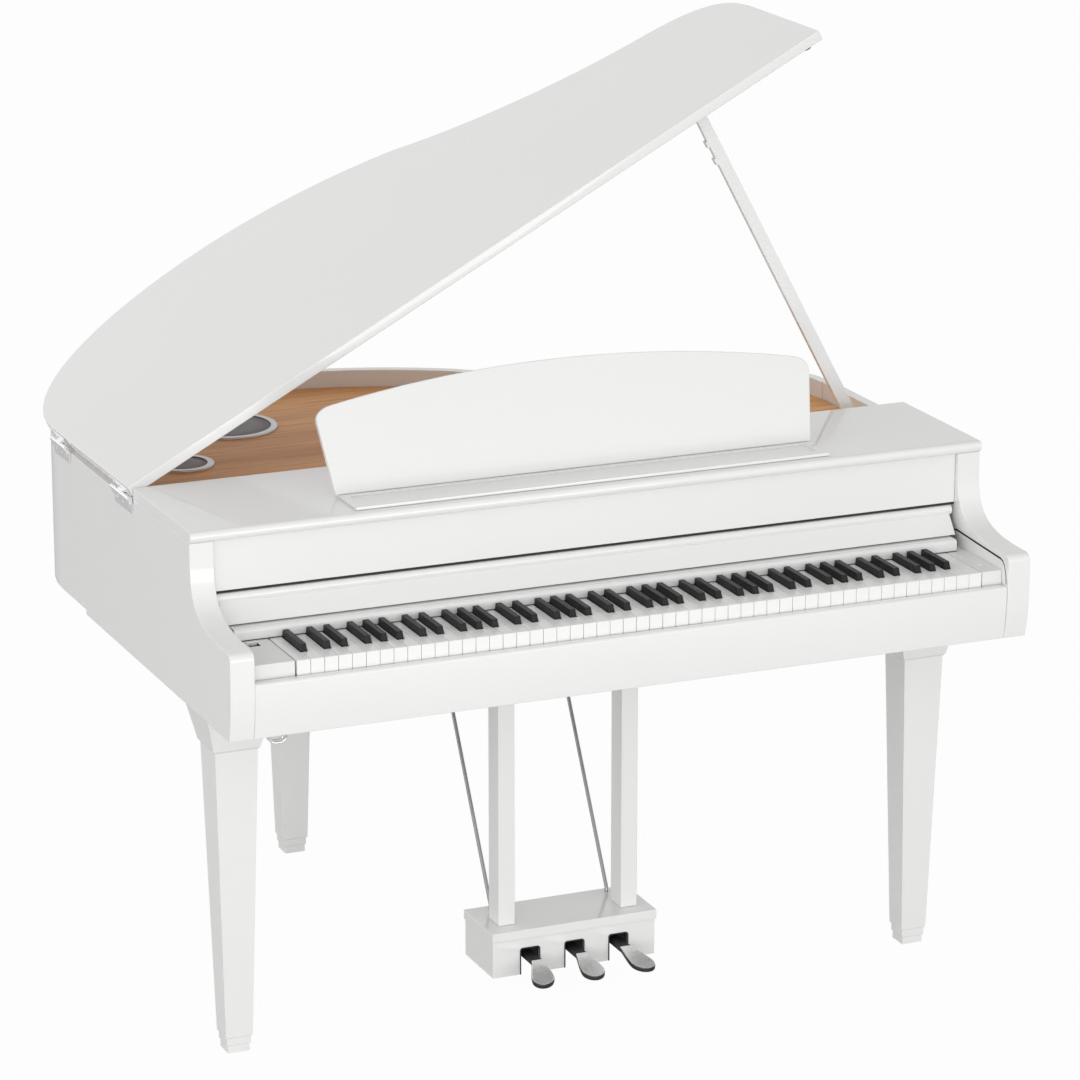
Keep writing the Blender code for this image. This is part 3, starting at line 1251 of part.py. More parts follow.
def make_music_rest_tray():
    bottom = LID_TOP + GAP
    tray = box("music_rest_tray", (REST_X - TRAY_HALF, TRAY_FRONT, bottom),
               (REST_X + TRAY_HALF, TRAY_REAR, bottom + TRAY_THICKNESS))
    bevel(tray, TRAY_BEVEL)
    half = TRAY_HALF - TRAY_RIM_SIDE
    top = bottom + TRAY_THICKNESS
    cut(tray, box("tray_recess", (REST_X - half, TRAY_FRONT + TRAY_RIM_FRONT, top - TRAY_RECESS),
                  (REST_X + half, TRAY_REAR - TRAY_RIM_REAR, top + CUT_MARGIN), CUTTERS))
    finish(tray, WHITE_LACQUER)


def make_speakers():
    """Each driver's flange lies on the soundboard, its basket hangs through the hole."""
    bottom = SOUNDBOARD_TOP + GAP
    top = bottom + SPEAKER_FLANGE
    mesh = bottom + SPEAKER_FLANGE / 2
    for name, (x, setback, radius) in SPEAKERS.items():
        basket = radius - SPEAKER_LIP
        magnet = basket * MAGNET_SHARE
        inner = radius - SPEAKER_RING
        deep = SOUNDBOARD_TOP - LARGE_SPEAKER_DEEP * radius / LARGE_SPEAKER_RADIUS
        profile = [(0.0, mesh), (inner, mesh), (inner + RING_SLOPE, top), (radius - RING_BEVEL, top),
                   (radius, bottom + RING_BEVEL), (radius, bottom), (basket, bottom),
                   (basket, SOUNDBOARD_TOP - SOUNDBOARD_THICKNESS),
                   (magnet, (deep + SOUNDBOARD_TOP) / 2), (magnet, deep), (0.0, deep)]
        speaker = turned(name, profile, SPEAKER_STEPS, (x, at_depth(CASE_DEPTH - setback), 0.0))
        finish(speaker, SPEAKER_GREY)


def make_amplifier():
    bottom = RIM_BOTTOM + BOTTOM_BOARD_THICKNESS + GAP
    amp = box("amplifier_unit", (AMP_X - AMP_WIDTH / 2, AMP_FRONT, bottom),
              (AMP_X + AMP_WIDTH / 2, AMP_FRONT + AMP_DEPTH, bottom + AMP_HEIGHT))
    inlet = box("inlet", (INLET_X - INLET_WIDTH / 2, INLET_FRONT, RIM_BOTTOM),
                (INLET_X + INLET_WIDTH / 2, INLET_REAR, bottom + INLET_SUNK), CUTTERS)
    middle = (INLET_FRONT + INLET_REAR) / 2
    socket = box("inlet_socket",
                 (INLET_X - SOCKET_WIDTH / 2, middle - SOCKET_LENGTH / 2, RIM_BOTTOM - CUT_MARGIN),
                 (INLET_X + SOCKET_WIDTH / 2, middle + SOCKET_LENGTH / 2, RIM_BOTTOM + SOCKET_DEEP), CUTTERS)
    join(amp, inlet)
    cut(amp, socket)
    finish(amp, BLACK_PLASTIC)


def leg_profile(top):
    """Half-widths of a square leg from its top down, with a flared capital."""
    profile = [(0.0, top)]
    for step in range(CAPITAL_STEPS, -1, -1):
        share = step / CAPITAL_STEPS
        half = CAPITAL_FOOT_HALF + (CAPITAL_HALF - CAPITAL_FOOT_HALF) * share ** CAPITAL_FLARE
        profile.append((half, CAPITAL_FOOT + (top - CAPITAL_FOOT) * share))
    profile += [(SHAFT_TOP_HALF, SHAFT_TOP), (SHAFT_BOTTOM_HALF, COLLAR_TOP),
                (COLLAR_HALF, COLLAR_TOP - COLLAR_BEVEL), (COLLAR_HALF, FOOT_HEIGHT + COLLAR_BEVEL),
                (FOOT_HALF, FOOT_HEIGHT), (FOOT_HALF, 0.0), (0.0, 0.0)]
    return profile


def make_legs():
    places = {"leg_front_bass": (-FRONT_LEG_X, FRONT_LEG_DEPTH, CASE_BOTTOM),
              "leg_front_treble": (FRONT_LEG_X, FRONT_LEG_DEPTH, CASE_BOTTOM),
              "leg_rear": (REAR_LEG_X, REAR_LEG_DEPTH, RIM_BOTTOM)}
    for name, (x, depth, underside) in places.items():
        profile = [(half * math.sqrt(2), z) for half, z in leg_profile(underside - GAP)]
        leg = turned(name, profile, 4, (x, at_depth(depth), 0.0))
        leg.rotation_euler = (0.0, 0.0, math.radians(45))
        finish(leg, WHITE_LACQUER)


def make_pedal_box():
    piece = box("pedal_box", (-BOX_HALF, BOX_FRONT, BOX_BOTTOM), (BOX_HALF, BOX_REAR, BOX_TOP))
    half = BOX_HALF + PLATE_OVERHANG / 2
    join(piece, box("lyre_plate", (-half, BOX_FRONT - PLATE_OVERHANG, BOX_TOP - PLATE_SUNK),
                    (half, BOX_REAR + PLATE_OVERHANG / 2, PLATE_TOP), CUTTERS))
    reach = PEDAL_SLOT_HALF - PEDAL_SLOT_CORNER
    corner_height = PEDAL_SLOT_TOP - PEDAL_SLOT_CORNER
    low = BOX_BOTTOM - CUT_MARGIN
    for name, number in zip(PEDAL_NAMES, (-1, 0, 1)):
        x = number * PEDAL_SPACING
        loop = arc((x + reach, corner_height), PEDAL_SLOT_CORNER, 0, 90, CORNER_STEPS)
        loop += arc((x - reach, corner_height), PEDAL_SLOT_CORNER, 90, 180, CORNER_STEPS)
        loop += [(x - PEDAL_SLOT_HALF, low), (x + PEDAL_SLOT_HALF, low)]
        slot = profile_along_depth(name + "_slot", loop, BOX_FRONT - CUT_MARGIN, PEDAL_SLOT_REAR, CUTTERS)
        cut(piece, slot)
    finish(piece, WHITE_LACQUER)


def bend_pedal(pedal, number):
    """Slope a flat pedal down in front of its knee, and fan the outer ones outwards."""
    knee = at_depth(PEDAL_KNEE)
    slope, fan = math.tan(math.radians(PEDAL_SLOPE)), math.tan(math.radians(PEDAL_FAN))
    shape = bmesh.new()
    shape.from_mesh(pedal.data)
    bmesh.ops.bisect_plane(
        shape, geom=shape.verts[:] + shape.edges[:] + shape.faces[:], dist=MERGE_DISTANCE,
        plane_co=(0, knee, 0), plane_no=(0, 1, 0))
    for vert in shape.verts:
        ahead = max(knee - vert.co.y, 0.0)
        vert.co += Vector((number * ahead * fan, 0, -ahead * slope))
    shape.to_mesh(pedal.data)
    shape.free()


def make_pedals():
    for name, number in zip(PEDAL_NAMES, (-1, 0, 1)):
        x = number * PEDAL_SPACING
        left = bezier((-PEDAL_TIP_HALF, PEDAL_SHOULDER),
                      (-PEDAL_TIP_HALF, PEDAL_SHOULDER + PEDAL_TIP_HANDLE),
                      (-PEDAL_NECK_HALF - PEDAL_NECK_FLARE, PEDAL_KNEE - PEDAL_NECK_HANDLE),
                      (-PEDAL_NECK_HALF, PEDAL_KNEE), SHORT_CURVE_STEPS)[1:]
        left += [(-PEDAL_NECK_HALF, PEDAL_KNEE), (-PEDAL_NECK_HALF, PEDAL_REAR)]
        loop = arc((x, PEDAL_SHOULDER), PEDAL_TIP_HALF, 360, 180, PEDAL_STEPS)
        loop += [(x + offset, depth) for offset, depth in left]
        loop += [(x - offset, depth) for offset, depth in reversed(left)]
        pedal = plate(name, loop, PEDAL_TOP - PEDAL_THICKNESS, PEDAL_TOP)
        bend_pedal(pedal, number)
        bevel(pedal, PEDAL_BEVEL)
        height = PEDAL_TOP - PEDAL_THICKNESS / 2
        reach = PEDAL_SLOT_HALF - GAP
        pin = cylinder(name + "_pin", (x - reach, PEDAL_PIVOT, height), (x + reach, PEDAL_PIVOT, height),
                       PEDAL_PIN_RADIUS, PIN_SEGMENTS, CUTTERS)
        join(pedal, pin)
        set_origin(pedal, x, PEDAL_PIVOT, height)
        finish(pedal, CHROME)


def make_lyre():
    for side, sign in (("bass", -1), ("treble", 1)):
        x = sign * POST_X
        post = box("lyre_post_" + side, (x - POST_WIDTH / 2, POST_FRONT, PLATE_TOP + GAP),
                   (x + POST_WIDTH / 2, POST_FRONT + POST_DEPTH, CASE_BOTTOM - GAP))
        finish(post, WHITE_LACQUER)
        x = sign * ROD_X
        foot, head = PLATE_TOP + GAP, RIM_BOTTOM - GAP
        rod = tube("lyre_rod_" + side, [(x, ROD_FRONT, foot), (x, ROD_FRONT, foot + ROD_STUB),
                                        (x, ROD_REAR, head - ROD_STUB), (x, ROD_REAR, head)], ROD_RADIUS)
        smooth(rod)
        finish(rod, CHROME)


def hook_side(top):
    """Points (X, Z) of one leg of the hook, from its plate through the trough to its rising end."""
    trough = (HANGER_X + HOOK_TROUGH, top - HOOK_DROP)
    end = (HANGER_X + HOOK_END_REACH, top - HOOK_END_DROP)
    rise = math.radians(HOOK_END_RISE)
    lead = (end[0] - HOOK_TROUGH_HANDLE * math.cos(rise), end[1] - HOOK_TROUGH_HANDLE * math.sin(rise))
    points = bezier((HANGER_X, top - HANGER_PLATE_THICKNESS / 2), (HANGER_X, trough[1]),
                    (trough[0] - HOOK_TROUGH_HANDLE, trough[1]), trough, SHORT_CURVE_STEPS)
    points += bezier(trough, (trough[0] + HOOK_TROUGH_HANDLE, trough[1]), lead, end, SHORT_CURVE_STEPS)
    return points + [end]


def make_headphone_hanger():
    top = CASE_BOTTOM - GAP
    piece = box("headphone_hanger",
                (HANGER_X - HANGER_PLATE_HALF, HANGER_FRONT, top - HANGER_PLATE_THICKNESS),
                (HANGER_X + HANGER_PLATE_HALF, HANGER_FRONT + HANGER_PLATE_DEPTH, top))
    side = hook_side(top)
    end, rise = side[-1], math.radians(HOOK_END_RISE)
    route = [(x, HOOK_DEPTH - HOOK_HALF_WIDTH, z) for x, z in side]
    for across, along in arc((0.0, 0.0), HOOK_HALF_WIDTH, 180, 0, CORNER_STEPS)[1:-1]:
        route.append((end[0] + along * math.cos(rise), HOOK_DEPTH + across, end[1] + along * math.sin(rise)))
    route += [(x, HOOK_DEPTH + HOOK_HALF_WIDTH, z) for x, z in reversed(side)]
    join(piece, tube("hanger_hook", route, HOOK_WIRE_RADIUS, CUTTERS))
    finish(piece, CHROME)


make_side("side_bass", -1)
make_side("side_treble", 1)
make_rim()
make_keybed()
make_key_slip()
make_bottom_board()
make_belly_rail()
make_soundboard()
make_front_top_panel()
make_name_panel()
make_key_cover()
make_key_back_strip()
make_end_blocks()
make_controls()
make_keyboard()
make_lid()
make_case_leaf("front")
make_case_leaf("rear")
make_lid_prop()
make_music_rest()
make_music_rest_stay()
make_music_rest_tray()
make_speakers()
make_amplifier()
make_legs()
make_pedal_box()
make_pedals()
make_lyre()
make_headphone_hanger()
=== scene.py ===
"""A white digital grand piano with its lid propped open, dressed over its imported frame.

Metres, +Z up, +X to the treble end, +Y to the tail. Every place comes from the frame's own
nodes. A dressed piece is a merged copy of its node with rounded edges, or is modelled anew.
"""
import json
import math
import bmesh
import bpy
from bpy.props import FloatProperty, FloatVectorProperty, IntProperty, PointerProperty
from mathutils import Matrix, Vector

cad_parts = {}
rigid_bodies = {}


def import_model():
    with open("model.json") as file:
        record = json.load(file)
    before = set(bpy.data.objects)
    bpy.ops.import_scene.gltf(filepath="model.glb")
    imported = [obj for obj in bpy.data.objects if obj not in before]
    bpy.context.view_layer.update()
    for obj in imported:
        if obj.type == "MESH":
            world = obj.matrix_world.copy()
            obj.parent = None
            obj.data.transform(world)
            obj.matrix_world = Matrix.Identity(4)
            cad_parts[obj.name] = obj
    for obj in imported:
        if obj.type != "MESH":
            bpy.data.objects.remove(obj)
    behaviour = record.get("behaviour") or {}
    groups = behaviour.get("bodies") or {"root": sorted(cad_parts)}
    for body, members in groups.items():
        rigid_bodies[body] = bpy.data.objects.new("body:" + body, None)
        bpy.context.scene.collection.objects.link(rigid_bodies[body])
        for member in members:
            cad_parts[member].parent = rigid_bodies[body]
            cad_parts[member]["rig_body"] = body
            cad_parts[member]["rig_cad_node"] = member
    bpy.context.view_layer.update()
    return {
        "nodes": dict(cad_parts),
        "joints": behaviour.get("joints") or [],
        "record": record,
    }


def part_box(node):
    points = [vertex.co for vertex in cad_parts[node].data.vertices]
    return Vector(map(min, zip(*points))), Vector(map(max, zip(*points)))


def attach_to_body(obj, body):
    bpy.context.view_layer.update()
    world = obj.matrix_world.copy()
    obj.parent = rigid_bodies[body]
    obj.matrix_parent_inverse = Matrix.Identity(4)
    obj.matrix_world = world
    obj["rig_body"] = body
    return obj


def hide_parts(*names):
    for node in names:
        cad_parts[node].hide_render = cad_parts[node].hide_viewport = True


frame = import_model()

bl_info = {
    "name": "Digital grand piano",
    "version": (1, 0, 0),
    "blender": (4, 5, 0),
    "location": "3D View > Sidebar > Piano",
    "description": "Dresses the packed frame of a digital grand piano and sets its studio",
    "category": "Object",
}

BODY_OF_NODE = {
    node: body for body, nodes in frame["record"]["behaviour"]["bodies"].items() for node in nodes
}

PIVOTS = {joint["name"]: Vector(joint["pos_m"]) for joint in frame["joints"] if "pos_m" in joint}
CAD_GAP = 0.0003

MERGE_DISTANCE = 0.00001
FLAT_ANGLE = math.radians(0.4)
SMOOTH_ANGLE = math.radians(50)
SHARP_ANGLE = math.radians(25)
TOUCH = 0.0004

LID_ANGLE = math.radians(28.15)
SIDE_NODES = ("side_bass", "side_treble")
PEDALS = ("pedal_soft", "pedal_sostenuto", "pedal_damper")
SPEAKER_SIZES = ("large", "small")
LEGS = ("leg_front_bass", "leg_front_treble", "leg_rear")
HINGE_ENDS = ("front", "rear")


class PianoSettings(bpy.types.PropertyGroup):
    panel_edge: FloatProperty(
        name="Panel edges", description="Rounding of the lacquered panels' edges",
        default=0.0012, min=0.0002, max=0.004, unit="LENGTH", precision=4)
    leg_edge: FloatProperty(
        name="Leg edges", description="Rounding of the edges of the legs and the lyre",
        default=0.0014, min=0.0002, max=0.004, unit="LENGTH", precision=4)
    metal_edge: FloatProperty(
        name="Metal edges", description="Rounding of hinges and fittings",
        default=0.0004, min=0.0001, max=0.001, unit="LENGTH", precision=4)
    natural_edge: FloatProperty(
        name="Natural key edges", description="Rounding of the white keys' top edges",
        default=0.0008, min=0.0002, max=0.002, unit="LENGTH", precision=4)
    sharp_edge: FloatProperty(
        name="Sharp key edges", description="Rounding of the black keys' top edges",
        default=0.0014, min=0.0002, max=0.003, unit="LENGTH", precision=4)
    ring_segments: IntProperty(
        name="Ring segments", description="Segments round a speaker's ring", default=72, min=24, max=128)
    lacquer: FloatVectorProperty(
        name="Lacquer", description="Colour of the polished lacquer", subtype="COLOR",
        default=(0.86, 0.86, 0.85), min=0.0, max=1.0)
    wood_light: FloatVectorProperty(
        name="Light wood", description="Lighter grain of the soundboard", subtype="COLOR",
        default=(0.96, 0.50, 0.185), min=0.0, max=1.0)
    wood_dark: FloatVectorProperty(
        name="Dark wood", description="Darker grain of the soundboard", subtype="COLOR",
        default=(0.70, 0.31, 0.10), min=0.0, max=1.0)
    sharp_black: FloatVectorProperty(
        name="Sharps", description="Colour of the black keys", subtype="COLOR",
        default=(0.008, 0.008, 0.0085), min=0.0, max=1.0)


class StageSettings(bpy.types.PropertyGroup):
    camera_place: FloatVectorProperty(
        name="Camera", description="Where the camera stands", subtype="TRANSLATION", unit="LENGTH",
        default=(-2.9603, -7.1049, 2.9806))
    camera_turn: FloatProperty(
        name="Camera turn", description="How far the camera turns to the treble side",
        default=math.radians(23.146), subtype="ANGLE")
    camera_tilt: FloatProperty(
        name="Camera tilt", description="How far the camera looks down",
        default=math.radians(16.401), subtype="ANGLE")
    camera_lens: FloatProperty(
        name="Lens", description="Focal length on a 36 mm sensor", default=152.77, unit="CAMERA")
    floor_half: FloatProperty(
        name="Floor", description="Half the side of the floor", default=40.0, unit="LENGTH")
    sky_low: FloatProperty(
        name="Horizon light", description="Strength of the surrounding light near the floor",
        default=1.00, min=0.0, max=2.0)
    sky_high: FloatProperty(
        name="Overhead light", description="Strength of the surrounding light overhead",
        default=0.45, min=0.0, max=2.0)
    sky_front: FloatProperty(
        name="Light from the front", description="Share of the surrounding light in front of the keys",
        default=1.06, min=0.0, max=2.0)
    sky_rear: FloatProperty(
        name="Light from behind", description="Share of the surrounding light behind the tail",
        default=0.94, min=0.0, max=2.0)
    sky_bass: FloatProperty(
        name="Light from the bass side", description="Share of the surrounding light at the bass side",
        default=1.50, min=0.0, max=2.0)
    sky_treble: FloatProperty(
        name="Light from the treble side", description="Share of the surrounding light at the treble side",
        default=0.82, min=0.0, max=2.0)
    floor_seen: FloatProperty(
        name="White floor", description="Share of plain white in the floor that the camera sees",
        default=0.97, min=0.0, max=1.0)
    floor_mirrored: FloatProperty(
        name="Mirrored floor", description="Share of plain white in the floor that metal reflects",
        default=0.20, min=0.0, max=1.0)
    front_power: FloatProperty(
        name="Front softbox", description="Power of the large low light in front", default=50.0,
        min=0.0, unit="POWER")


# Finishes

FINISHES = {}


class Finish:
    """A procedural material, built up node by node on the piece's own coordinates."""

    def __init__(self, name, roughness, metallic=0.0, coat=0.0, coat_roughness=0.03):
        self.material = bpy.data.materials.new(name + "_finish")
        FINISHES[name] = self.material
        self.material.use_nodes = True
        self.tree = self.material.node_tree
        self.shader = self.tree.nodes["Principled BSDF"]
        self.shader.inputs["Roughness"].default_value = roughness
        self.shader.inputs["Metallic"].default_value = metallic
        self.shader.inputs["Coat Weight"].default_value = coat
        self.shader.inputs["Coat Roughness"].default_value = coat_roughness
        self.place = self.tree.nodes.new("ShaderNodeTexCoord").outputs["Object"]

    def stretched(self, scale):
        mapping = self.tree.nodes.new("ShaderNodeMapping")
        mapping.inputs["Scale"].default_value = scale
        self.tree.links.new(self.place, mapping.inputs["Vector"])
        return mapping.outputs["Vector"]

    def noise(self, scale, detail=2.0, stretch=(1.0, 1.0, 1.0), distortion=0.0):
        node = self.tree.nodes.new("ShaderNodeTexNoise")
        node.inputs["Scale"].default_value = scale
        node.inputs["Detail"].default_value = detail
        node.inputs["Distortion"].default_value = distortion
        self.tree.links.new(self.stretched(stretch), node.inputs["Vector"])
        return node.outputs["Fac"]

    def cells(self, scale):
        node = self.tree.nodes.new("ShaderNodeTexVoronoi")
        node.inputs["Scale"].default_value = scale
        node.inputs["Randomness"].default_value = 0.0
        self.tree.links.new(self.place, node.inputs["Vector"])
        return node.outputs["Distance"]

    def ramp(self, factor, stops):
        node = self.tree.nodes.new("ShaderNodeValToRGB")
        steps = node.color_ramp.elements
        while len(steps) < len(stops):
            steps.new(1.0)
        for step, (place, colour) in zip(steps, stops):
            step.position = place
            step.color = (*colour, 1.0)
        self.tree.links.new(factor, node.inputs["Fac"])
        return node.outputs["Color"]

    def blend(self, factor, first, second, mode="MIX"):
        node = self.tree.nodes.new("ShaderNodeMix")
        node.data_type = "RGBA"
        node.blend_type = mode
        for socket, value in ((node.inputs["Factor"], factor), (node.inputs["A"], first),
                              (node.inputs["B"], second)):
            if isinstance(value, bpy.types.NodeSocket):
                self.tree.links.new(value, socket)
            elif isinstance(value, float):
                socket.default_value = value
            else:
                socket.default_value = (*value, 1.0)
        return node.outputs["Result"]

    def stains(self, first, second, scale, detail=3.0, stretch=(1.0, 1.0, 1.0)):
        """Two close colours in soft patches, as the base colour."""
        patches = self.noise(scale, detail, stretch)
        self.colour(self.blend(patches, first, second))
        return patches

    def colour(self, source):
        self.tree.links.new(source, self.shader.inputs["Base Color"])

    def roughen(self, factor, low, high):
        node = self.tree.nodes.new("ShaderNodeMapRange")
        node.inputs["To Min"].default_value = low
        node.inputs["To Max"].default_value = high
        self.tree.links.new(factor, node.inputs["Value"])
        self.tree.links.new(node.outputs["Result"], self.shader.inputs["Roughness"])

    def bump(self, height, strength, distance):
        node = self.tree.nodes.new("ShaderNodeBump")
        node.inputs["Strength"].default_value = strength
        node.inputs["Distance"].default_value = distance
        self.tree.links.new(height, node.inputs["Height"])
        self.tree.links.new(node.outputs["Normal"], self.shader.inputs["Normal"])
        if self.shader.inputs["Coat Weight"].default_value:
            self.tree.links.new(node.outputs["Normal"], self.shader.inputs["Coat Normal"])


def tint(colour, share):
    return tuple(min(1.0, channel * share) for channel in colour)


def lacquer_finish(settings):
    finish = Finish("white_lacquer", roughness=0.35, coat=1.0, coat_roughness=0.02)
    colour = tuple(settings.lacquer)
    finish.stains(tint(colour, 0.985), tint(colour, 1.01), 3.5)
    finish.bump(finish.noise(260.0, 1.0), 0.01, 0.0002)


def satin_block_finish(settings):
    """The end blocks beside the keys, duller than the case."""
    finish = Finish("satin_block", roughness=0.4)
    grain = finish.stains(tint(settings.lacquer, 0.93), tint(settings.lacquer, 0.97), 500.0)
    finish.bump(grain, 0.05, 0.0002)


def primed_board_finish(settings):
    finish = Finish("primed_board", roughness=0.7)
    fibres = finish.noise(320.0, 4.0, (0.3, 1.0, 1.0))
    finish.colour(finish.ramp(fibres, ((0.3, (0.70, 0.69, 0.66)), (0.7, (0.80, 0.80, 0.78)))))
    finish.bump(fibres, 0.2, 0.0004)


def soundboard_finish(settings):
    """Varnished wood whose grain runs from the bass side to the treble side."""
    finish = Finish("soundboard_wood", roughness=0.5)
    dark, light = tuple(settings.wood_dark), tuple(settings.wood_light)
    bands = finish.noise(1.0, 3.0, (0.9, 14.0, 4.0), 0.6)
    broad = finish.ramp(bands, ((0.32, dark), (0.5, tint(light, 0.88)), (0.68, light)))
    streaks = finish.noise(1.0, 5.0, (5.0, 260.0, 60.0), 0.4)
    lines = finish.ramp(streaks, ((0.36, (0.60, 0.53, 0.46)), (0.5, (1.0, 1.0, 1.0))))
    finish.colour(finish.blend(0.8, broad, lines, "MULTIPLY"))
    finish.roughen(streaks, 0.42, 0.55)
    finish.bump(streaks, 0.12, 0.0003)


def white_key_finish(settings):
    finish = Finish("key_white", roughness=0.28, coat=0.2, coat_roughness=0.1)
    finish.stains((0.87, 0.87, 0.855), (0.90, 0.90, 0.89), 30.0, 3.0, (1.0, 0.2, 1.0))
    finish.bump(finish.noise(900.0, 2.0, (1.0, 0.15, 1.0)), 0.03, 0.0002)


def black_key_finish(settings):
    finish = Finish("key_black", roughness=0.45)
    finish.shader.inputs["Specular IOR Level"].default_value = 0.3
    colour = tuple(settings.sharp_black)
    grain = finish.stains(tint(colour, 0.7), tint(colour, 1.7), 700.0, 4.0, (1.0, 0.06, 1.0))
    finish.roughen(grain, 0.38, 0.52)
    finish.bump(grain, 0.12, 0.0003)


def painted_shade_and_black_trim_finish(settings):
    """Near-black grain: painted shade inside the grooves and slots, and the black frames round the pedal
    slots and the pedals' arms.
    """
    finish = Finish("painted_shade_and_black_trim", roughness=0.6)
    grain = finish.stains((0.010, 0.010, 0.011), (0.022, 0.022, 0.023), 1400.0)
    finish.bump(grain, 0.15, 0.0002)


def amplifier_finish(settings):
    finish = Finish("amplifier_case", roughness=0.55)
    grain = finish.noise(900.0, 3.0)
    finish.colour(finish.blend(grain, (0.02, 0.02, 0.021), (0.045, 0.045, 0.047)))
    finish.bump(grain, 0.35, 0.0003)


def speaker_mesh_finish(settings):
    """Woven dark mesh: small round holes in even rows."""
    finish = Finish("speaker_mesh", roughness=0.5, metallic=0.4)
    holes = finish.cells(520.0)
    finish.colour(finish.ramp(holes, ((0.28, (0.014, 0.014, 0.015)), (0.42, (0.24, 0.23, 0.235)))))
    finish.bump(holes, 0.6, 0.0006)


def speaker_ring_finish(settings):
    finish = Finish("speaker_ring", roughness=0.32, metallic=0.75)
    sheen = finish.noise(900.0, 2.0)
    finish.colour(finish.blend(sheen, (0.56, 0.56, 0.57), (0.66, 0.66, 0.67)))
    finish.roughen(sheen, 0.26, 0.38)


def speaker_frame_finish(settings):
    finish = Finish("speaker_frame", roughness=0.5)
    grain = finish.noise(600.0, 3.0)
    finish.colour(finish.blend(grain, (0.05, 0.05, 0.052), (0.09, 0.09, 0.092)))
    finish.bump(grain, 0.2, 0.0003)


def polished_metal_finish(settings):
    finish = Finish("polished_metal", roughness=0.08, metallic=1.0)
    haze = finish.noise(60.0, 3.0)
    finish.colour(finish.blend(haze, (0.86, 0.86, 0.865), (0.91, 0.91, 0.915)))
    finish.roughen(haze, 0.05, 0.12)


def pedal_metal_finish(settings):
    """The pedals' nickel, bright but less mirror-like than the hinges."""
    finish = Finish("pedal_metal", roughness=0.28, metallic=1.0)
    haze = finish.stains((0.92, 0.92, 0.925), (0.95, 0.95, 0.955), 60.0)
    finish.roughen(haze, 0.24, 0.32)


def pedal_painted_reflection_finish(settings):
    """Darker metal on the pedals' edges and undersides, a painted dark reflection."""
    finish = Finish("pedal_painted_reflection", roughness=0.2, metallic=1.0)
    haze = finish.stains((0.06, 0.06, 0.062), (0.10, 0.10, 0.102), 60.0)
    finish.roughen(haze, 0.16, 0.26)


def satin_metal_finish(settings):
    """The two brace rods, darker and duller than the pedals."""
    finish = Finish("satin_metal", roughness=0.27, metallic=1.0)
    haze = finish.stains((0.36, 0.36, 0.365), (0.42, 0.42, 0.425), 60.0)
    finish.roughen(haze, 0.24, 0.32)


def stay_metal_finish(settings):
    finish = Finish("stay_metal", roughness=0.35, metallic=1.0)
    brushed = finish.noise(1.0, 4.0, (30.0, 900.0, 900.0))
    finish.colour(finish.blend(brushed, (0.38, 0.39, 0.40), (0.50, 0.51, 0.52)))
    finish.roughen(brushed, 0.28, 0.45)


def rubber_finish(settings):
    finish = Finish("bumper_rubber", roughness=0.8)
    grain = finish.noise(1200.0, 3.0)
    finish.colour(finish.blend(grain, (0.07, 0.07, 0.07), (0.13, 0.13, 0.13)))
    finish.bump(grain, 0.3, 0.0003)


def felt_finish(settings):
    finish = Finish("black_felt", roughness=0.95)
    finish.shader.inputs["Sheen Weight"].default_value = 0.3
    fibres = finish.noise(1500.0, 5.0)
    finish.colour(finish.blend(fibres, (0.014, 0.013, 0.013), (0.04, 0.037, 0.037)))
    finish.bump(fibres, 0.8, 0.0006)


FINISH_MAKERS = (
    lacquer_finish, satin_block_finish, primed_board_finish, soundboard_finish, white_key_finish,
    black_key_finish, painted_shade_and_black_trim_finish, amplifier_finish, speaker_mesh_finish, speaker_ring_finish,
    speaker_frame_finish, polished_metal_finish, pedal_metal_finish, pedal_painted_reflection_finish,
    satin_metal_finish, stay_metal_finish, rubber_finish, felt_finish,
)


# Working with pieces

def work_on(piece):
    """Make this piece the only one that is selected."""
    for other in bpy.context.selected_objects:
        other.select_set(False)
    piece.select_set(True)
    bpy.context.view_layer.objects.active = piece


def edit(piece):
    work_on(piece)
    bpy.ops.object.mode_set(mode="EDIT")
    bpy.ops.mesh.select_mode(type="VERT")
    bpy.ops.mesh.select_all(action="SELECT")


def leave_edit():
    bpy.ops.object.mode_set(mode="OBJECT")


def select_edges(piece, wanted):
    """In edit mode, select only the edges that the test wants."""
    bpy.ops.mesh.select_all(action="DESELECT")
    bpy.ops.mesh.select_mode(type="EDGE")
    shape = bmesh.from_edit_mesh(piece.data)
    for edge in shape.edges:
        edge.select_set(bool(wanted(edge)))
    shape.select_flush_mode()
    bmesh.update_edit_mesh(piece.data)


def select_faces(piece, wanted):
    bpy.ops.mesh.select_all(action="DESELECT")
    bpy.ops.mesh.select_mode(type="FACE")
    shape = bmesh.from_edit_mesh(piece.data)
    for face in shape.faces:
        face.select_set(bool(wanted(face)))
    shape.select_flush_mode()
    bmesh.update_edit_mesh(piece.data)


def is_corner(edge):
    return len(edge.link_faces) == 2 and edge.calc_face_angle(0.0) > SHARP_ANGLE


def copy_of(node):
    """A merged copy of a CAD node, with whole flat faces."""
    work_on(frame["nodes"][node])
    bpy.ops.object.duplicate()
    piece = bpy.context.active_object
    piece.name = node + "_dressed"
    piece.data.name = piece.name
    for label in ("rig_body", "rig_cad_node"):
        del piece[label]
    piece.data.materials.clear()
    if piece.data.has_custom_normals:
        bpy.ops.mesh.customdata_custom_splitnormals_clear()
    edit(piece)
    bpy.ops.mesh.remove_doubles(threshold=MERGE_DISTANCE)
    bpy.ops.mesh.dissolve_limited(angle_limit=FLAT_ANGLE)
    leave_edit()
    return piece


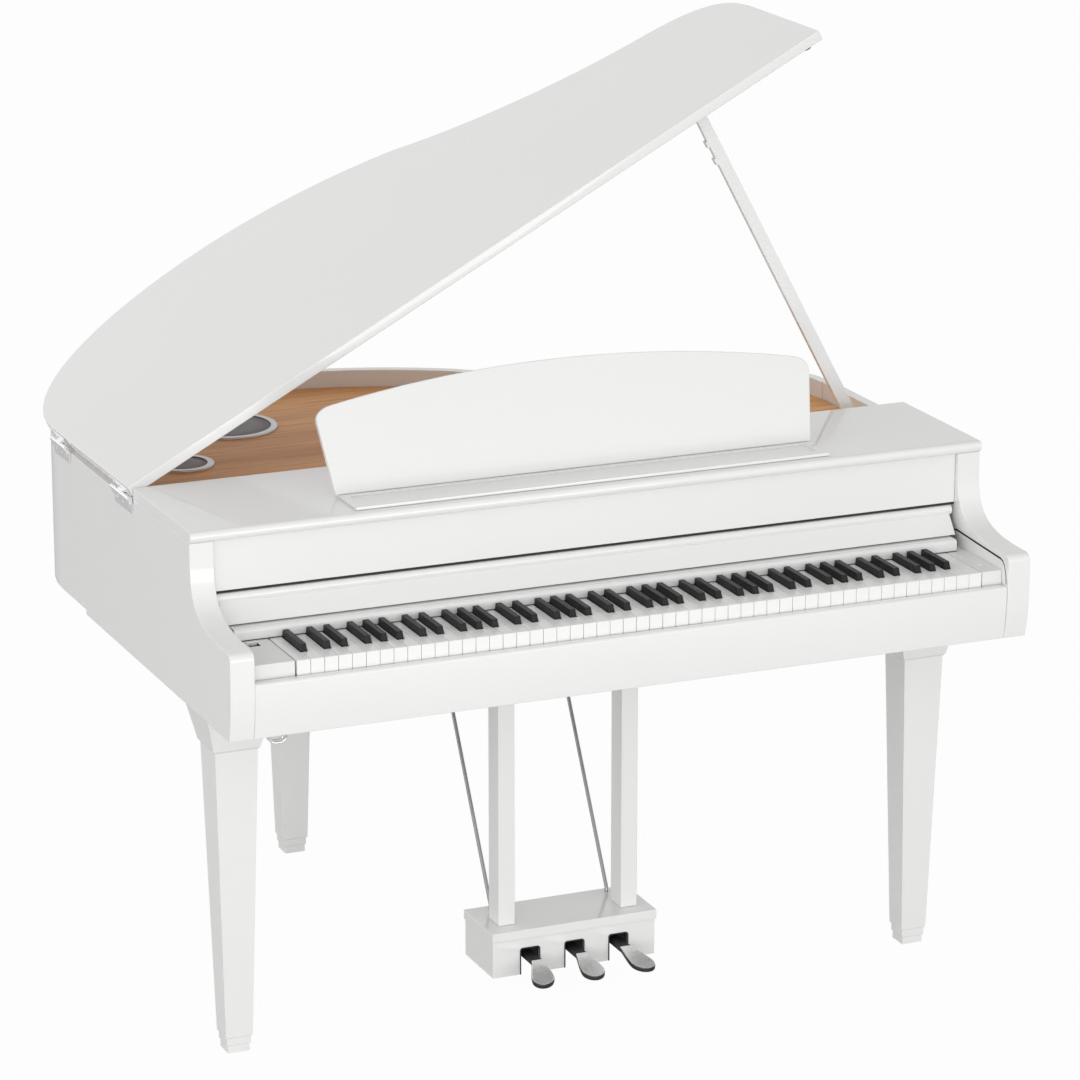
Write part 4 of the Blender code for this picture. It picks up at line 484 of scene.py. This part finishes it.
def round_edges(piece, width, segments=2):
    """Round every corner of a piece."""
    work_on(piece)
    bpy.ops.object.modifier_add(type="BEVEL")
    rounding = piece.modifiers[-1]
    rounding.width = width
    rounding.segments = segments
    rounding.limit_method = "ANGLE"
    rounding.angle_limit = SHARP_ANGLE
    rounding.use_clamp_overlap = False
    bpy.ops.object.modifier_apply(modifier=rounding.name)


def round_some(piece, wanted, width, segments=2):
    """Round only the corners that the test wants."""
    edit(piece)
    select_edges(piece, lambda edge: is_corner(edge) and wanted(edge))
    bpy.ops.mesh.bevel(offset=width, segments=segments, affect="EDGES", clamp_overlap=True)
    leave_edit()


def smooth(piece, angle=SMOOTH_ANGLE):
    """Smooth shading that leaves the flat faces flat."""
    work_on(piece)
    bpy.ops.object.shade_smooth_by_angle(angle=angle)
    bpy.ops.object.modifier_add(type="WEIGHTED_NORMAL")
    shading = piece.modifiers[-1]
    shading.keep_sharp = True
    bpy.ops.object.modifier_apply(modifier=shading.name)


def attach(piece, node, finish):
    """Give a piece its finish and let it ride with a node's body."""
    piece.data.materials.clear()
    piece.data.materials.append(FINISHES[finish])
    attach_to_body(piece, BODY_OF_NODE[node])
    return piece


def paint(piece, finish, wanted):
    """Give the faces that the test wants a second finish."""
    piece.data.materials.append(FINISHES[finish])
    for face in piece.data.polygons:
        if wanted(face):
            face.material_index = len(piece.data.materials) - 1


def stand_for(piece, node, finish):
    attach(piece, node, finish)
    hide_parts(node)
    return piece


def dress(node, finish, width, segments=2):
    """Replace a node by its copy with rounded edges."""
    piece = copy_of(node)
    round_edges(piece, width, segments)
    smooth(piece)
    return stand_for(piece, node, finish)


def settle(piece):
    """Put a piece's place into its mesh."""
    work_on(piece)
    bpy.ops.object.transform_apply(location=True, rotation=True, scale=True)
    return piece


def turned(name, steps, segments):
    """A round piece about the Z axis, raised from a circle through its (radius, height) steps."""
    for other in bpy.context.selected_objects:
        other.select_set(False)
    radius, height = steps[0]
    bpy.ops.mesh.primitive_circle_add(vertices=segments, radius=radius, fill_type="NOTHING",
                                      location=(0.0, 0.0, 0.0))
    piece = bpy.context.active_object
    piece.name = name
    piece.data.name = name
    edit(piece)
    bpy.ops.transform.translate(value=(0.0, 0.0, height))
    for next_radius, next_height in steps[1:]:
        bpy.ops.mesh.extrude_region_move(
            TRANSFORM_OT_translate={"value": (0.0, 0.0, next_height - height)})
        share = next_radius / radius
        bpy.ops.transform.resize(value=(share, share, 1.0), center_override=(0.0, 0.0, next_height))
        radius, height = next_radius, next_height
    bpy.ops.mesh.select_all(action="SELECT")
    if steps[0] == steps[-1]:
        bpy.ops.mesh.remove_doubles(threshold=MERGE_DISTANCE)
    else:
        bpy.ops.mesh.fill_holes(sides=0)
    bpy.ops.mesh.select_all(action="SELECT")
    bpy.ops.mesh.normals_make_consistent(inside=False)
    leave_edit()
    return piece


def repeat(piece, name, step):
    """A copy with its own mesh, moved by a step."""
    work_on(piece)
    bpy.ops.object.duplicate()
    other = bpy.context.active_object
    other.name = name
    other.data.name = name
    other.location = step
    return settle(other)


def put(piece, place, turn=(0.0, 0.0, 0.0)):
    piece.location = place
    piece.rotation_euler = turn
    return settle(piece)


def block(name, low, high, width, segments=2):
    """A small block between two corners, with rounded edges where a width is given."""
    for other in bpy.context.selected_objects:
        other.select_set(False)
    low, high = Vector(low), Vector(high)
    bpy.ops.mesh.primitive_cube_add(size=1.0, location=(low + high) / 2, scale=high - low)
    piece = bpy.context.active_object
    piece.name = name
    piece.data.name = name
    settle(piece)
    if width:
        round_edges(piece, width, segments)
        smooth(piece)
    return piece


def middle(node):
    low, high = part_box(node)
    return (low + high) / 2


# Pieces

class DressCase(bpy.types.Operator):
    """Dress the sides with painted shade in their grooves, the rim, boards and panels of the case"""
    bl_idname = "piano.dress_case"
    bl_label = "Case"

    groove_lip = 0.0013
    groove_depth = 0.0045

    def execute(self, context):
        settings = context.scene.piano
        for node in ("rim", "key_slip", "front_top_panel", "name_panel", "keybed"):
            dress(node, "white_lacquer", settings.panel_edge)
        for node in ("bottom_board", "belly_rail"):
            dress(node, "primed_board", settings.panel_edge / 2)
        dress("soundboard", "soundboard_wood", settings.panel_edge / 4, 1)
        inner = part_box("key_slip")[1].x + CAD_GAP
        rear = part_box("name_panel")[0].y

        def in_shaded_groove(face):
            centre = face.center
            return inner + self.groove_lip < abs(centre.x) < inner + self.groove_depth and centre.y < rear

        for node in SIDE_NODES:
            side = dress(node, "white_lacquer", settings.panel_edge)
            # The grooves' walls and floors are painted near-black as shade.
            paint(side, "painted_shade_and_black_trim", in_shaded_groove)
        return {"FINISHED"}


class DressKeyCover(bpy.types.Operator):
    """Dress the sliding key cover with its pins painted near-black as the grooves' shade, the strip behind
    the keys, and the felts, the one under the name panel put there as that slot's shadow
    """
    bl_idname = "piano.dress_key_cover"
    bl_label = "Key cover"

    pin_length = 0.0085
    key_felt_height = 0.0012
    key_felt_depth = 0.0010
    slot_shadow_felt_space = 0.0007
    slot_shadow_felt_setback = 0.0012
    slot_shadow_felt_depth = 0.004

    def execute(self, context):
        settings = context.scene.piano
        cover = dress("key_cover", "white_lacquer", settings.panel_edge / 2)
        low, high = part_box("key_cover")
        # The pins' ends, inside the cheeks' grooves, are painted near-black as shade.
        paint(cover, "painted_shade_and_black_trim", lambda face: abs(face.center.x) > high.x - self.pin_length)
        dress("key_back_strip", "white_lacquer", settings.panel_edge / 2)
        self.add_key_felt(settings)
        self.add_slot_shadow_felt(settings, high.z)
        return {"FINISHED"}

    def add_key_felt(self, settings):
        """A thin dark line where the keys pass under their strip."""
        low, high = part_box("key_back_strip")
        felt = block("key_felt", (low.x, low.y - self.key_felt_depth, low.z),
                     (high.x, low.y - TOUCH / 4, low.z + self.key_felt_height), settings.metal_edge / 2)
        attach(felt, "key_back_strip", "black_felt")

    def add_slot_shadow_felt(self, settings, cover_top):
        """Black felt under the name panel, in the slot through which the cover slides, that stands in for the
        slot's shadow.
        """
        low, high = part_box("name_panel")
        felt = block("slot_shadow_felt", (low.x, low.y + self.slot_shadow_felt_setback, cover_top + self.slot_shadow_felt_space),
                     (high.x, low.y + self.slot_shadow_felt_setback + self.slot_shadow_felt_depth, low.z - TOUCH / 4),
                     settings.metal_edge / 2)
        attach(felt, "name_panel", "black_felt")


class DressKeyboard(bpy.types.Operator):
    """Round the tops and fronts of the white keys and the heads of the black keys"""
    bl_idname = "piano.dress_keyboard"
    bl_label = "Keyboard"

    def execute(self, context):
        settings = context.scene.piano
        keys = sorted(node for node in BODY_OF_NODE if node.startswith(("key_", "naturals_", "sharps_"))
                      and node not in ("key_cover", "key_slip", "key_back_strip"))
        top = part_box("naturals_low")[1].z
        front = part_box("naturals_low")[0].y
        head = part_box("key_c4_sharp")[1].z

        def natural_corner(edge):
            on_top = all(corner.co.z > top - TOUCH for corner in edge.verts)
            in_front = all(corner.co.y < front + TOUCH for corner in edge.verts)
            return on_top or in_front

        def head_corner(edge):
            return (all(corner.co.z > top - TOUCH for corner in edge.verts)
                    and any(corner.co.z > head - TOUCH for corner in edge.verts))

        for node in keys:
            piece = copy_of(node)
            if "sharp" in node:
                round_some(piece, head_corner, settings.sharp_edge, 3)
                finish = "key_black"
            else:
                round_some(piece, natural_corner, settings.natural_edge)
                finish = "key_white"
            smooth(piece)
            stand_for(piece, node, finish)
        return {"FINISHED"}


class DressControls(bpy.types.Operator):
    """Dress the end blocks, the volume slider in its slot painted near-black as shade, and the two buttons"""
    bl_idname = "piano.dress_controls"
    bl_label = "Controls"

    slot_length = 0.022
    slot_deep = 0.005

    def execute(self, context):
        settings = context.scene.piano
        dress("end_block_treble", "satin_block", settings.metal_edge / 2)
        bass = dress("end_block_bass", "satin_block", settings.metal_edge / 2)
        low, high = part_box("volume_slider")
        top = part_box("end_block_bass")[1].z

        def in_shaded_slot(face):
            centre = face.center
            across = low.x - CAD_GAP - TOUCH < centre.x < high.x + CAD_GAP + TOUCH
            along = high.y - self.slot_length < centre.y < high.y + CAD_GAP + TOUCH
            return across and along and top - self.slot_deep - TOUCH < centre.z < top - TOUCH

        # The slider's slot is painted near-black as shade.
        paint(bass, "painted_shade_and_black_trim", in_shaded_slot)
        dress("volume_slider", "key_white", settings.metal_edge / 2)
        for node in ("power_button", "function_button"):
            dress(node, "key_white", settings.metal_edge)
        return {"FINISHED"}


class DressLid(bpy.types.Operator):
    """Dress the lid, its bumper, its hinge leaves with their screws, and the prop's stops"""
    bl_idname = "piano.dress_lid"
    bl_label = "Lid"

    screw_radius = 0.0028
    screw_head = 0.0008
    screw_steps = 20
    screw_inset = 0.012
    leaf_face = 0.005
    case_screw_rise = 0.010
    lid_screw_rise = 0.0095
    stop_spread = 0.0138
    stop_half = (0.003, 0.009, 0.002)

    def execute(self, context):
        settings = context.scene.piano
        lid = copy_of("lid")
        smooth(lid)
        stand_for(lid, "lid", "white_lacquer")
        dress("lid_bumper", "bumper_rubber", settings.panel_edge)
        for end in HINGE_ENDS:
            for leaf in ("lid_leaf_" + end, "case_leaf_" + end):
                dress(leaf, "polished_metal", settings.metal_edge)
        self.add_screws()
        self.add_stops(settings)
        return {"FINISHED"}

    def make_screw(self):
        """A pan head with a drive recess, its top towards the bass side."""
        radius, top = self.screw_radius, self.screw_head
        steps = ((radius, 0.0), (radius, top * 0.5), (radius * 0.82, top), (radius * 0.42, top),
                 (radius * 0.34, top * 0.4), (radius * 0.05, top * 0.4))
        screw = turned("hinge_screw", steps, self.screw_steps)
        put(screw, (0.0, 0.0, 0.0), (0.0, -math.pi / 2, 0.0))
        smooth(screw)
        return screw

    def add_screws(self):
        """Three screws in each leaf, all copies of the first one."""
        axis = PIVOTS["lid_hinge"]
        face = axis.x + self.leaf_face - TOUCH / 4
        model = self.make_screw()
        for end in HINGE_ENDS:
            low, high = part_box("case_leaf_" + end)
            first, last = low.y + self.screw_inset, high.y - self.screw_inset
            for number, depth in enumerate((first, (first + last) / 2, last)):
                name = "_screw_%s_%d" % (end, number)
                screw = repeat(model, "case" + name, (face, depth, low.z + self.case_screw_rise))
                attach(screw, "case_leaf_" + end, "polished_metal")
                screw = repeat(model, "lid" + name, (face, depth, axis.z + self.lid_screw_rise))
                self.open_with_lid(screw)
                attach(screw, "lid_leaf_" + end, "polished_metal")
        bpy.data.objects.remove(model)

    def open_with_lid(self, piece):
        axis = PIVOTS["lid_hinge"]
        turn = Matrix.Rotation(-LID_ANGLE, 4, "Y")
        piece.matrix_world = Matrix.Translation(axis) @ turn @ Matrix.Translation(-axis) @ piece.matrix_world
        settle(piece)

    def add_stops(self, settings):
        """Two small blocks on the lid's underside, on either side of the prop's tip."""
        tip, up = self.prop_tip()
        half = Vector(self.stop_half)
        for sign, label in ((-1, "bass"), (1, "treble")):
            centre = Vector((sign * self.stop_spread, 0.0, -half.z))
            stop = block("prop_stop_" + label, centre - half, centre + half, settings.metal_edge)
            stop.matrix_world = Matrix.Translation(tip - up * TOUCH / 4) @ Matrix.Rotation(-LID_ANGLE, 4, "Y")
            settle(stop)
            attach(stop, "lid", "white_lacquer")

    def prop_tip(self):
        """Where the prop, which is square to the lid, meets its underside, and the way up."""
        axis, foot = PIVOTS["lid_hinge"], PIVOTS["lid_prop_pivot"]
        up = Vector((-math.sin(LID_ANGLE), 0.0, math.cos(LID_ANGLE)))
        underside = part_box("front_top_panel")[0].z - axis.z
        return foot + up * (underside - (foot - axis).dot(up)), up


class DressLidProp(bpy.types.Operator):
    """Dress the lid prop, its long corners rounded"""
    bl_idname = "piano.dress_lid_prop"
    bl_label = "Lid prop"

    long_corner = 0.05

    def execute(self, context):
        prop = copy_of("lid_prop")
        round_some(prop, lambda edge: edge.calc_length() > self.long_corner, context.scene.piano.panel_edge)
        smooth(prop)
        stand_for(prop, "lid_prop", "white_lacquer")
        return {"FINISHED"}


class DressMusicRest(bpy.types.Operator):
    """Dress the music rest, its tray and its stay"""
    bl_idname = "piano.dress_music_rest"
    bl_label = "Music rest"

    def execute(self, context):
        settings = context.scene.piano
        rest = copy_of("music_rest")
        smooth(rest)
        stand_for(rest, "music_rest", "white_lacquer")
        dress("music_rest_tray", "white_lacquer", settings.metal_edge / 2)
        dress("music_rest_stay", "stay_metal", settings.metal_edge)
        return {"FINISHED"}


class DressSpeakers(bpy.types.Operator):
    """Dress each speaker with a silver ring and a domed dark mesh over its basket"""
    bl_idname = "piano.dress_speakers"
    bl_label = "Speakers"

    flange = 0.0032
    ring_width = 0.0125
    ring_height = 0.0036
    dome_height = 0.0016
    dome_rows = 10

    def execute(self, context):
        settings = context.scene.piano
        for size in SPEAKER_SIZES:
            bass, treble = "speaker_%s_bass" % size, "speaker_%s_treble" % size
            for node in (bass, treble):
                dress(node, "speaker_frame", settings.metal_edge / 2, 1)
            low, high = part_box(bass)
            place = self.seat(bass)
            step = self.seat(treble) - place
            radius = (high.x - low.x) / 2
            ring = put(self.make_ring(bass + "_ring", radius, settings), place)
            mesh = put(self.make_mesh(bass + "_mesh", radius, settings), place)
            smooth(ring, math.radians(60))
            smooth(mesh)
            attach(repeat(ring, treble + "_ring", step), treble, "speaker_ring")
            attach(repeat(mesh, treble + "_mesh", step), treble, "speaker_mesh")
            attach(ring, bass, "speaker_ring")
            attach(mesh, bass, "speaker_mesh")
        return {"FINISHED"}

    def seat(self, node):
        """The middle of a speaker's flange, at the height of the soundboard."""
        low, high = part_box(node)
        return Vector(((low.x + high.x) / 2, (low.y + high.y) / 2, high.z - self.flange))

    def make_ring(self, name, radius, settings):
        outer, inner, top = radius + TOUCH, radius - self.ring_width, self.ring_height
        steps = ((outer, 0.0), (outer, top * 0.55), (outer - 0.0008, top * 0.9), (outer - 0.002, top),
                 (inner + 0.002, top), (inner + 0.0006, top * 0.85), (inner, top * 0.45),
                 (inner, 0.0), (outer, 0.0))
        return turned(name, steps, settings.ring_segments)

    def make_mesh(self, name, radius, settings):
        edge = radius - self.ring_width
        base = self.ring_height / 2
        steps = [(edge, base - TOUCH)]
        for row in range(self.dome_rows):
            share = 1 - row / self.dome_rows
            steps.append((edge * share, base + self.dome_height * (1 - share ** 2)))
        steps.append((edge * 0.02, base + self.dome_height))
        return turned(name, steps, settings.ring_segments)


class DressAmplifier(bpy.types.Operator):
    """Dress the amplifier unit inside the case"""
    bl_idname = "piano.dress_amplifier"
    bl_label = "Amplifier"

    def execute(self, context):
        dress("amplifier_unit", "amplifier_case", context.scene.piano.panel_edge)
        return {"FINISHED"}


class DressLegs(bpy.types.Operator):
    """Dress the three legs"""
    bl_idname = "piano.dress_legs"
    bl_label = "Legs"

    def execute(self, context):
        for node in LEGS:
            dress(node, "white_lacquer", context.scene.piano.leg_edge / 2)
        return {"FINISHED"}


class DressLyre(bpy.types.Operator):
    """Dress the pedal box with painted shade in its slots, the pedals with painted dark reflection on their
    edges, the posts and the rods
    """
    bl_idname = "piano.dress_lyre"
    bl_label = "Pedal lyre"

    slot_half = 0.0169
    slot_top = 0.0837
    slot_corner = 0.0035
    slot_setback = 0.0008
    slot_end = 0.006
    plate_overhang = 0.004
    frame_width = 0.002
    frame_proud = 0.0012
    corner_steps = 4
    rim_inset = 0.0012
    rim_drop = 0.0003
    top_area = 0.0005
    knee_reach = 0.0304
    painted_reflection_slope = 0.5

    def execute(self, context):
        settings = context.scene.piano
        self.dress_box(settings)
        self.add_slot_frames(settings)
        for node in PEDALS:
            self.dress_pedal(node)
        for node in ("lyre_post_bass", "lyre_post_treble"):
            dress(node, "white_lacquer", settings.leg_edge)
        for node in ("lyre_rod_bass", "lyre_rod_treble"):
            rod = copy_of(node)
            smooth(rod)
            stand_for(rod, node, "satin_metal")
        return {"FINISHED"}

    def dress_box(self, settings):
        """The slots' walls get painted near-black shade, the box is lacquered."""
        low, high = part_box("pedal_box")
        places = [PIVOTS[node + "_press"].x for node in PEDALS]
        front = low.y + self.plate_overhang + self.slot_setback

        def in_shaded_slot(face):
            centre = face.center
            across = any(abs(centre.x - x) < self.slot_half + TOUCH for x in places)
            along = front < centre.y < high.y - self.slot_end
            return across and along and low.z + TOUCH < centre.z < self.slot_top + TOUCH

        paint(dress("pedal_box", "white_lacquer", settings.leg_edge / 2), "painted_shade_and_black_trim", in_shaded_slot)

    def add_slot_frames(self, settings):
        """A black strip round each slot's opening, modelled once and copied."""
        low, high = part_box("pedal_box")
        front = low.y + self.plate_overhang
        inner, outer = self.slot_half, self.slot_half + self.frame_width
        centre_height = self.slot_top - self.slot_corner
        first = block("slot_frame", (-outer, front - self.frame_proud, low.z + TOUCH),
                      (-inner, front - TOUCH / 4, centre_height), None)
        edit(first)
        select_faces(first, lambda face: face.normal.z > 0.9)
        self.turn_corner(first, self.slot_corner - inner, centre_height)
        bpy.ops.mesh.extrude_region_move(
            TRANSFORM_OT_translate={"value": (2 * (inner - self.slot_corner), 0.0, 0.0)})
        self.turn_corner(first, inner - self.slot_corner, centre_height)
        bpy.ops.mesh.extrude_region_move(
            TRANSFORM_OT_translate={"value": (0.0, 0.0, low.z + TOUCH - centre_height)})
        leave_edit()
        smooth(first)
        frames = [put(first, (PIVOTS[PEDALS[0] + "_press"].x, 0.0, 0.0))]
        for node in PEDALS[1:]:
            step = PIVOTS[node + "_press"].x - PIVOTS[PEDALS[0] + "_press"].x
            frames.append(repeat(first, "slot_frame_" + node, (step, 0.0, 0.0)))
        for piece in frames:
            attach(piece, "pedal_box", "painted_shade_and_black_trim")

    def turn_corner(self, piece, x, z):
        """Carry the selected end round a corner whose centre is at this X and Z."""
        for step in range(self.corner_steps):
            bpy.ops.mesh.extrude_region_move(TRANSFORM_OT_translate={"value": (0.0, 0.0, 0.0)})
            bpy.ops.transform.rotate(value=-math.pi / 2 / self.corner_steps, orient_axis="Y",
                                     center_override=(x, 0.0, z))

    def dress_pedal(self, node):
        """A bright pedal with painted dark reflection on its edges and undersides, its part behind the knee
        in the near-black slot finish, and a thin rim round its sloped upper face.
        """
        piece = copy_of(node)
        edit(piece)
        select_faces(piece, lambda face: 0.9 < face.normal.z < 0.99 and face.calc_area() > self.top_area)
        bpy.ops.mesh.inset(thickness=self.rim_inset, depth=-self.rim_drop)
        leave_edit()
        smooth(piece, math.radians(60))
        stand_for(piece, node, "pedal_metal")
        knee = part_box("pedal_box")[0].y + self.plate_overhang - self.knee_reach
        # Faces that slope away from the top get painted dark reflection.
        paint(piece, "pedal_painted_reflection", lambda face: face.normal.z < self.painted_reflection_slope)
        # The part behind the knee gets the near-black finish that also paints the slots' shade.
        paint(piece, "painted_shade_and_black_trim", lambda face: face.center.y > knee)


class DressHanger(bpy.types.Operator):
    """Dress the headphone hanger"""
    bl_idname = "piano.dress_hanger"
    bl_label = "Headphone hanger"

    def execute(self, context):
        piece = copy_of("headphone_hanger")
        smooth(piece)
        stand_for(piece, "headphone_hanger", "polished_metal")
        return {"FINISHED"}


class SetStage(bpy.types.Operator):
    """Set the floor, the soft studio light and the camera"""
    bl_idname = "piano.set_stage"
    bl_label = "Stage"

    def execute(self, context):
        stage = context.scene.piano_stage
        self.add_camera(context, stage)
        self.add_floor(stage)
        self.set_sky(context, stage)
        self.add_softbox("front_softbox", (-0.6, -4.0, 0.7), (0.0, 0.0, 0.5), (5.0, 1.2), stage.front_power)
        context.scene.view_settings.view_transform = "Standard"
        return {"FINISHED"}

    def add_camera(self, context, stage):
        camera = bpy.data.objects.new("camera", bpy.data.cameras.new("camera"))
        context.scene.collection.objects.link(camera)
        camera.data.sensor_width = 36.0
        camera.data.lens = stage.camera_lens
        camera.data.clip_end = 200.0
        camera.location = stage.camera_place
        camera.rotation_euler = (math.pi / 2 - stage.camera_tilt, 0.0, -stage.camera_turn)
        context.scene.camera = camera

    def add_floor(self, stage):
        for other in bpy.context.selected_objects:
            other.select_set(False)
        bpy.ops.mesh.primitive_plane_add(size=2 * stage.floor_half, location=(0.0, 0.0, 0.0))
        floor = bpy.context.active_object
        floor.name = "floor"
        floor.data.materials.append(self.floor_material(stage))

    def floor_material(self, stage):
        """White paper that keeps the piano's shadow, and stays white where the camera sees it."""
        material = bpy.data.materials.new("studio_floor")
        material.use_nodes = True
        tree = material.node_tree
        paper = tree.nodes["Principled BSDF"]
        paper.inputs["Base Color"].default_value = (0.62, 0.62, 0.62, 1.0)
        paper.inputs["Roughness"].default_value = 0.9
        paper.inputs["Specular IOR Level"].default_value = 0.0
        glow = tree.nodes.new("ShaderNodeEmission")
        glow.inputs["Strength"].default_value = 1.0
        seen = self.ray_share(tree, stage.floor_seen, stage.floor_mirrored)
        mix = tree.nodes.new("ShaderNodeMixShader")
        tree.links.new(seen, mix.inputs["Fac"])
        tree.links.new(paper.outputs["BSDF"], mix.inputs[1])
        tree.links.new(glow.outputs["Emission"], mix.inputs[2])
        tree.links.new(mix.outputs["Shader"], tree.nodes["Material Output"].inputs["Surface"])
        return material

    def ray_share(self, tree, seen, mirrored):
        """One share for camera rays, another for glossy and transmission rays, none for the rest."""
        rays = tree.nodes.new("ShaderNodeLightPath")
        shares = []
        for output, share in (("Is Camera Ray", seen), ("Is Glossy Ray", mirrored),
                              ("Is Transmission Ray", mirrored)):
            part = tree.nodes.new("ShaderNodeMath")
            part.operation = "MULTIPLY"
            part.inputs[1].default_value = share
            tree.links.new(rays.outputs[output], part.inputs[0])
            shares.append(part.outputs["Value"])
        while len(shares) > 1:
            larger = tree.nodes.new("ShaderNodeMath")
            larger.operation = "MAXIMUM"
            tree.links.new(shares.pop(), larger.inputs[0])
            tree.links.new(shares.pop(), larger.inputs[1])
            shares.append(larger.outputs["Value"])
        return shares[0]

    def shade_by(self, tree, way, start, end, first, last):
        """A value that goes smoothly from the first to the last as a direction's part does."""
        node = tree.nodes.new("ShaderNodeMapRange")
        node.interpolation_type = "SMOOTHSTEP"
        for socket, value in (("From Min", start), ("From Max", end), ("To Min", first), ("To Max", last)):
            node.inputs[socket].default_value = value
        tree.links.new(way, node.inputs["Value"])
        return node.outputs["Result"]

    def set_sky(self, context, stage):
        """Soft surrounding light, strongest low in front, that the camera sees as white."""
        world = bpy.data.worlds.new("studio")
        context.scene.world = world
        world.use_nodes = True
        tree = world.node_tree
        background = tree.nodes["Background"]
        direction = tree.nodes.new("ShaderNodeTexCoord")
        parts = tree.nodes.new("ShaderNodeSeparateXYZ")
        tree.links.new(direction.outputs["Generated"], parts.inputs["Vector"])
        light = self.shade_by(tree, parts.outputs["Z"], 0.0, 1.0, stage.sky_low, stage.sky_high)
        for share in (self.shade_by(tree, parts.outputs["Y"], -1.0, 0.6, stage.sky_front, stage.sky_rear),
                      self.shade_by(tree, parts.outputs["X"], -1.0, 1.0, stage.sky_bass, stage.sky_treble)):
            product = tree.nodes.new("ShaderNodeMath")
            product.operation = "MULTIPLY"
            tree.links.new(light, product.inputs[0])
            tree.links.new(share, product.inputs[1])
            light = product.outputs["Value"]
        seen = tree.nodes.new("ShaderNodeMix")
        tree.links.new(self.ray_share(tree, 1.0, stage.floor_mirrored), seen.inputs["Factor"])
        tree.links.new(light, seen.inputs["A"])
        seen.inputs["B"].default_value = 1.0
        tree.links.new(seen.outputs["Result"], background.inputs["Strength"])
        background.inputs["Color"].default_value = (1.0, 1.0, 1.0, 1.0)

    def add_softbox(self, name, place, aim, size, power):
        data = bpy.data.lights.new(name, "AREA")
        data.shape = "RECTANGLE"
        data.size, data.size_y = size
        data.energy = power
        light = bpy.data.objects.new(name, data)
        bpy.context.scene.collection.objects.link(light)
        light.location = place
        light.rotation_euler = (Vector(aim) - Vector(place)).to_track_quat("-Z", "Y").to_euler()


class PianoPanel(bpy.types.Panel):
    """The piano's pieces and stage"""
    bl_idname = "VIEW3D_PT_piano"
    bl_label = "Piano"
    bl_space_type = "VIEW_3D"
    bl_region_type = "UI"
    bl_category = "Piano"

    def draw(self, context):
        layout = self.layout
        for settings in (context.scene.piano, context.scene.piano_stage):
            column = layout.column()
            for name in settings.__annotations__:
                column.prop(settings, name)
        for operator in OPERATORS:
            layout.operator(operator.bl_idname)


OPERATORS = (
    SetStage, DressCase, DressKeyCover, DressKeyboard, DressControls, DressLid, DressLidProp,
    DressMusicRest, DressSpeakers, DressAmplifier, DressLegs, DressLyre, DressHanger,
)
CLASSES = (PianoSettings, StageSettings) + OPERATORS + (PianoPanel,)


def register():
    for cls in CLASSES:
        bpy.utils.register_class(cls)
    bpy.types.Scene.piano = PointerProperty(type=PianoSettings)
    bpy.types.Scene.piano_stage = PointerProperty(type=StageSettings)


def unregister():
    del bpy.types.Scene.piano_stage
    del bpy.types.Scene.piano
    for cls in reversed(CLASSES):
        bpy.utils.unregister_class(cls)


def main():
    register()
    for make in FINISH_MAKERS:
        make(bpy.context.scene.piano)
    for operator in OPERATORS:
        group, name = operator.bl_idname.split(".")
        getattr(getattr(bpy.ops, group), name)()


if __name__ == "__main__":
    main()
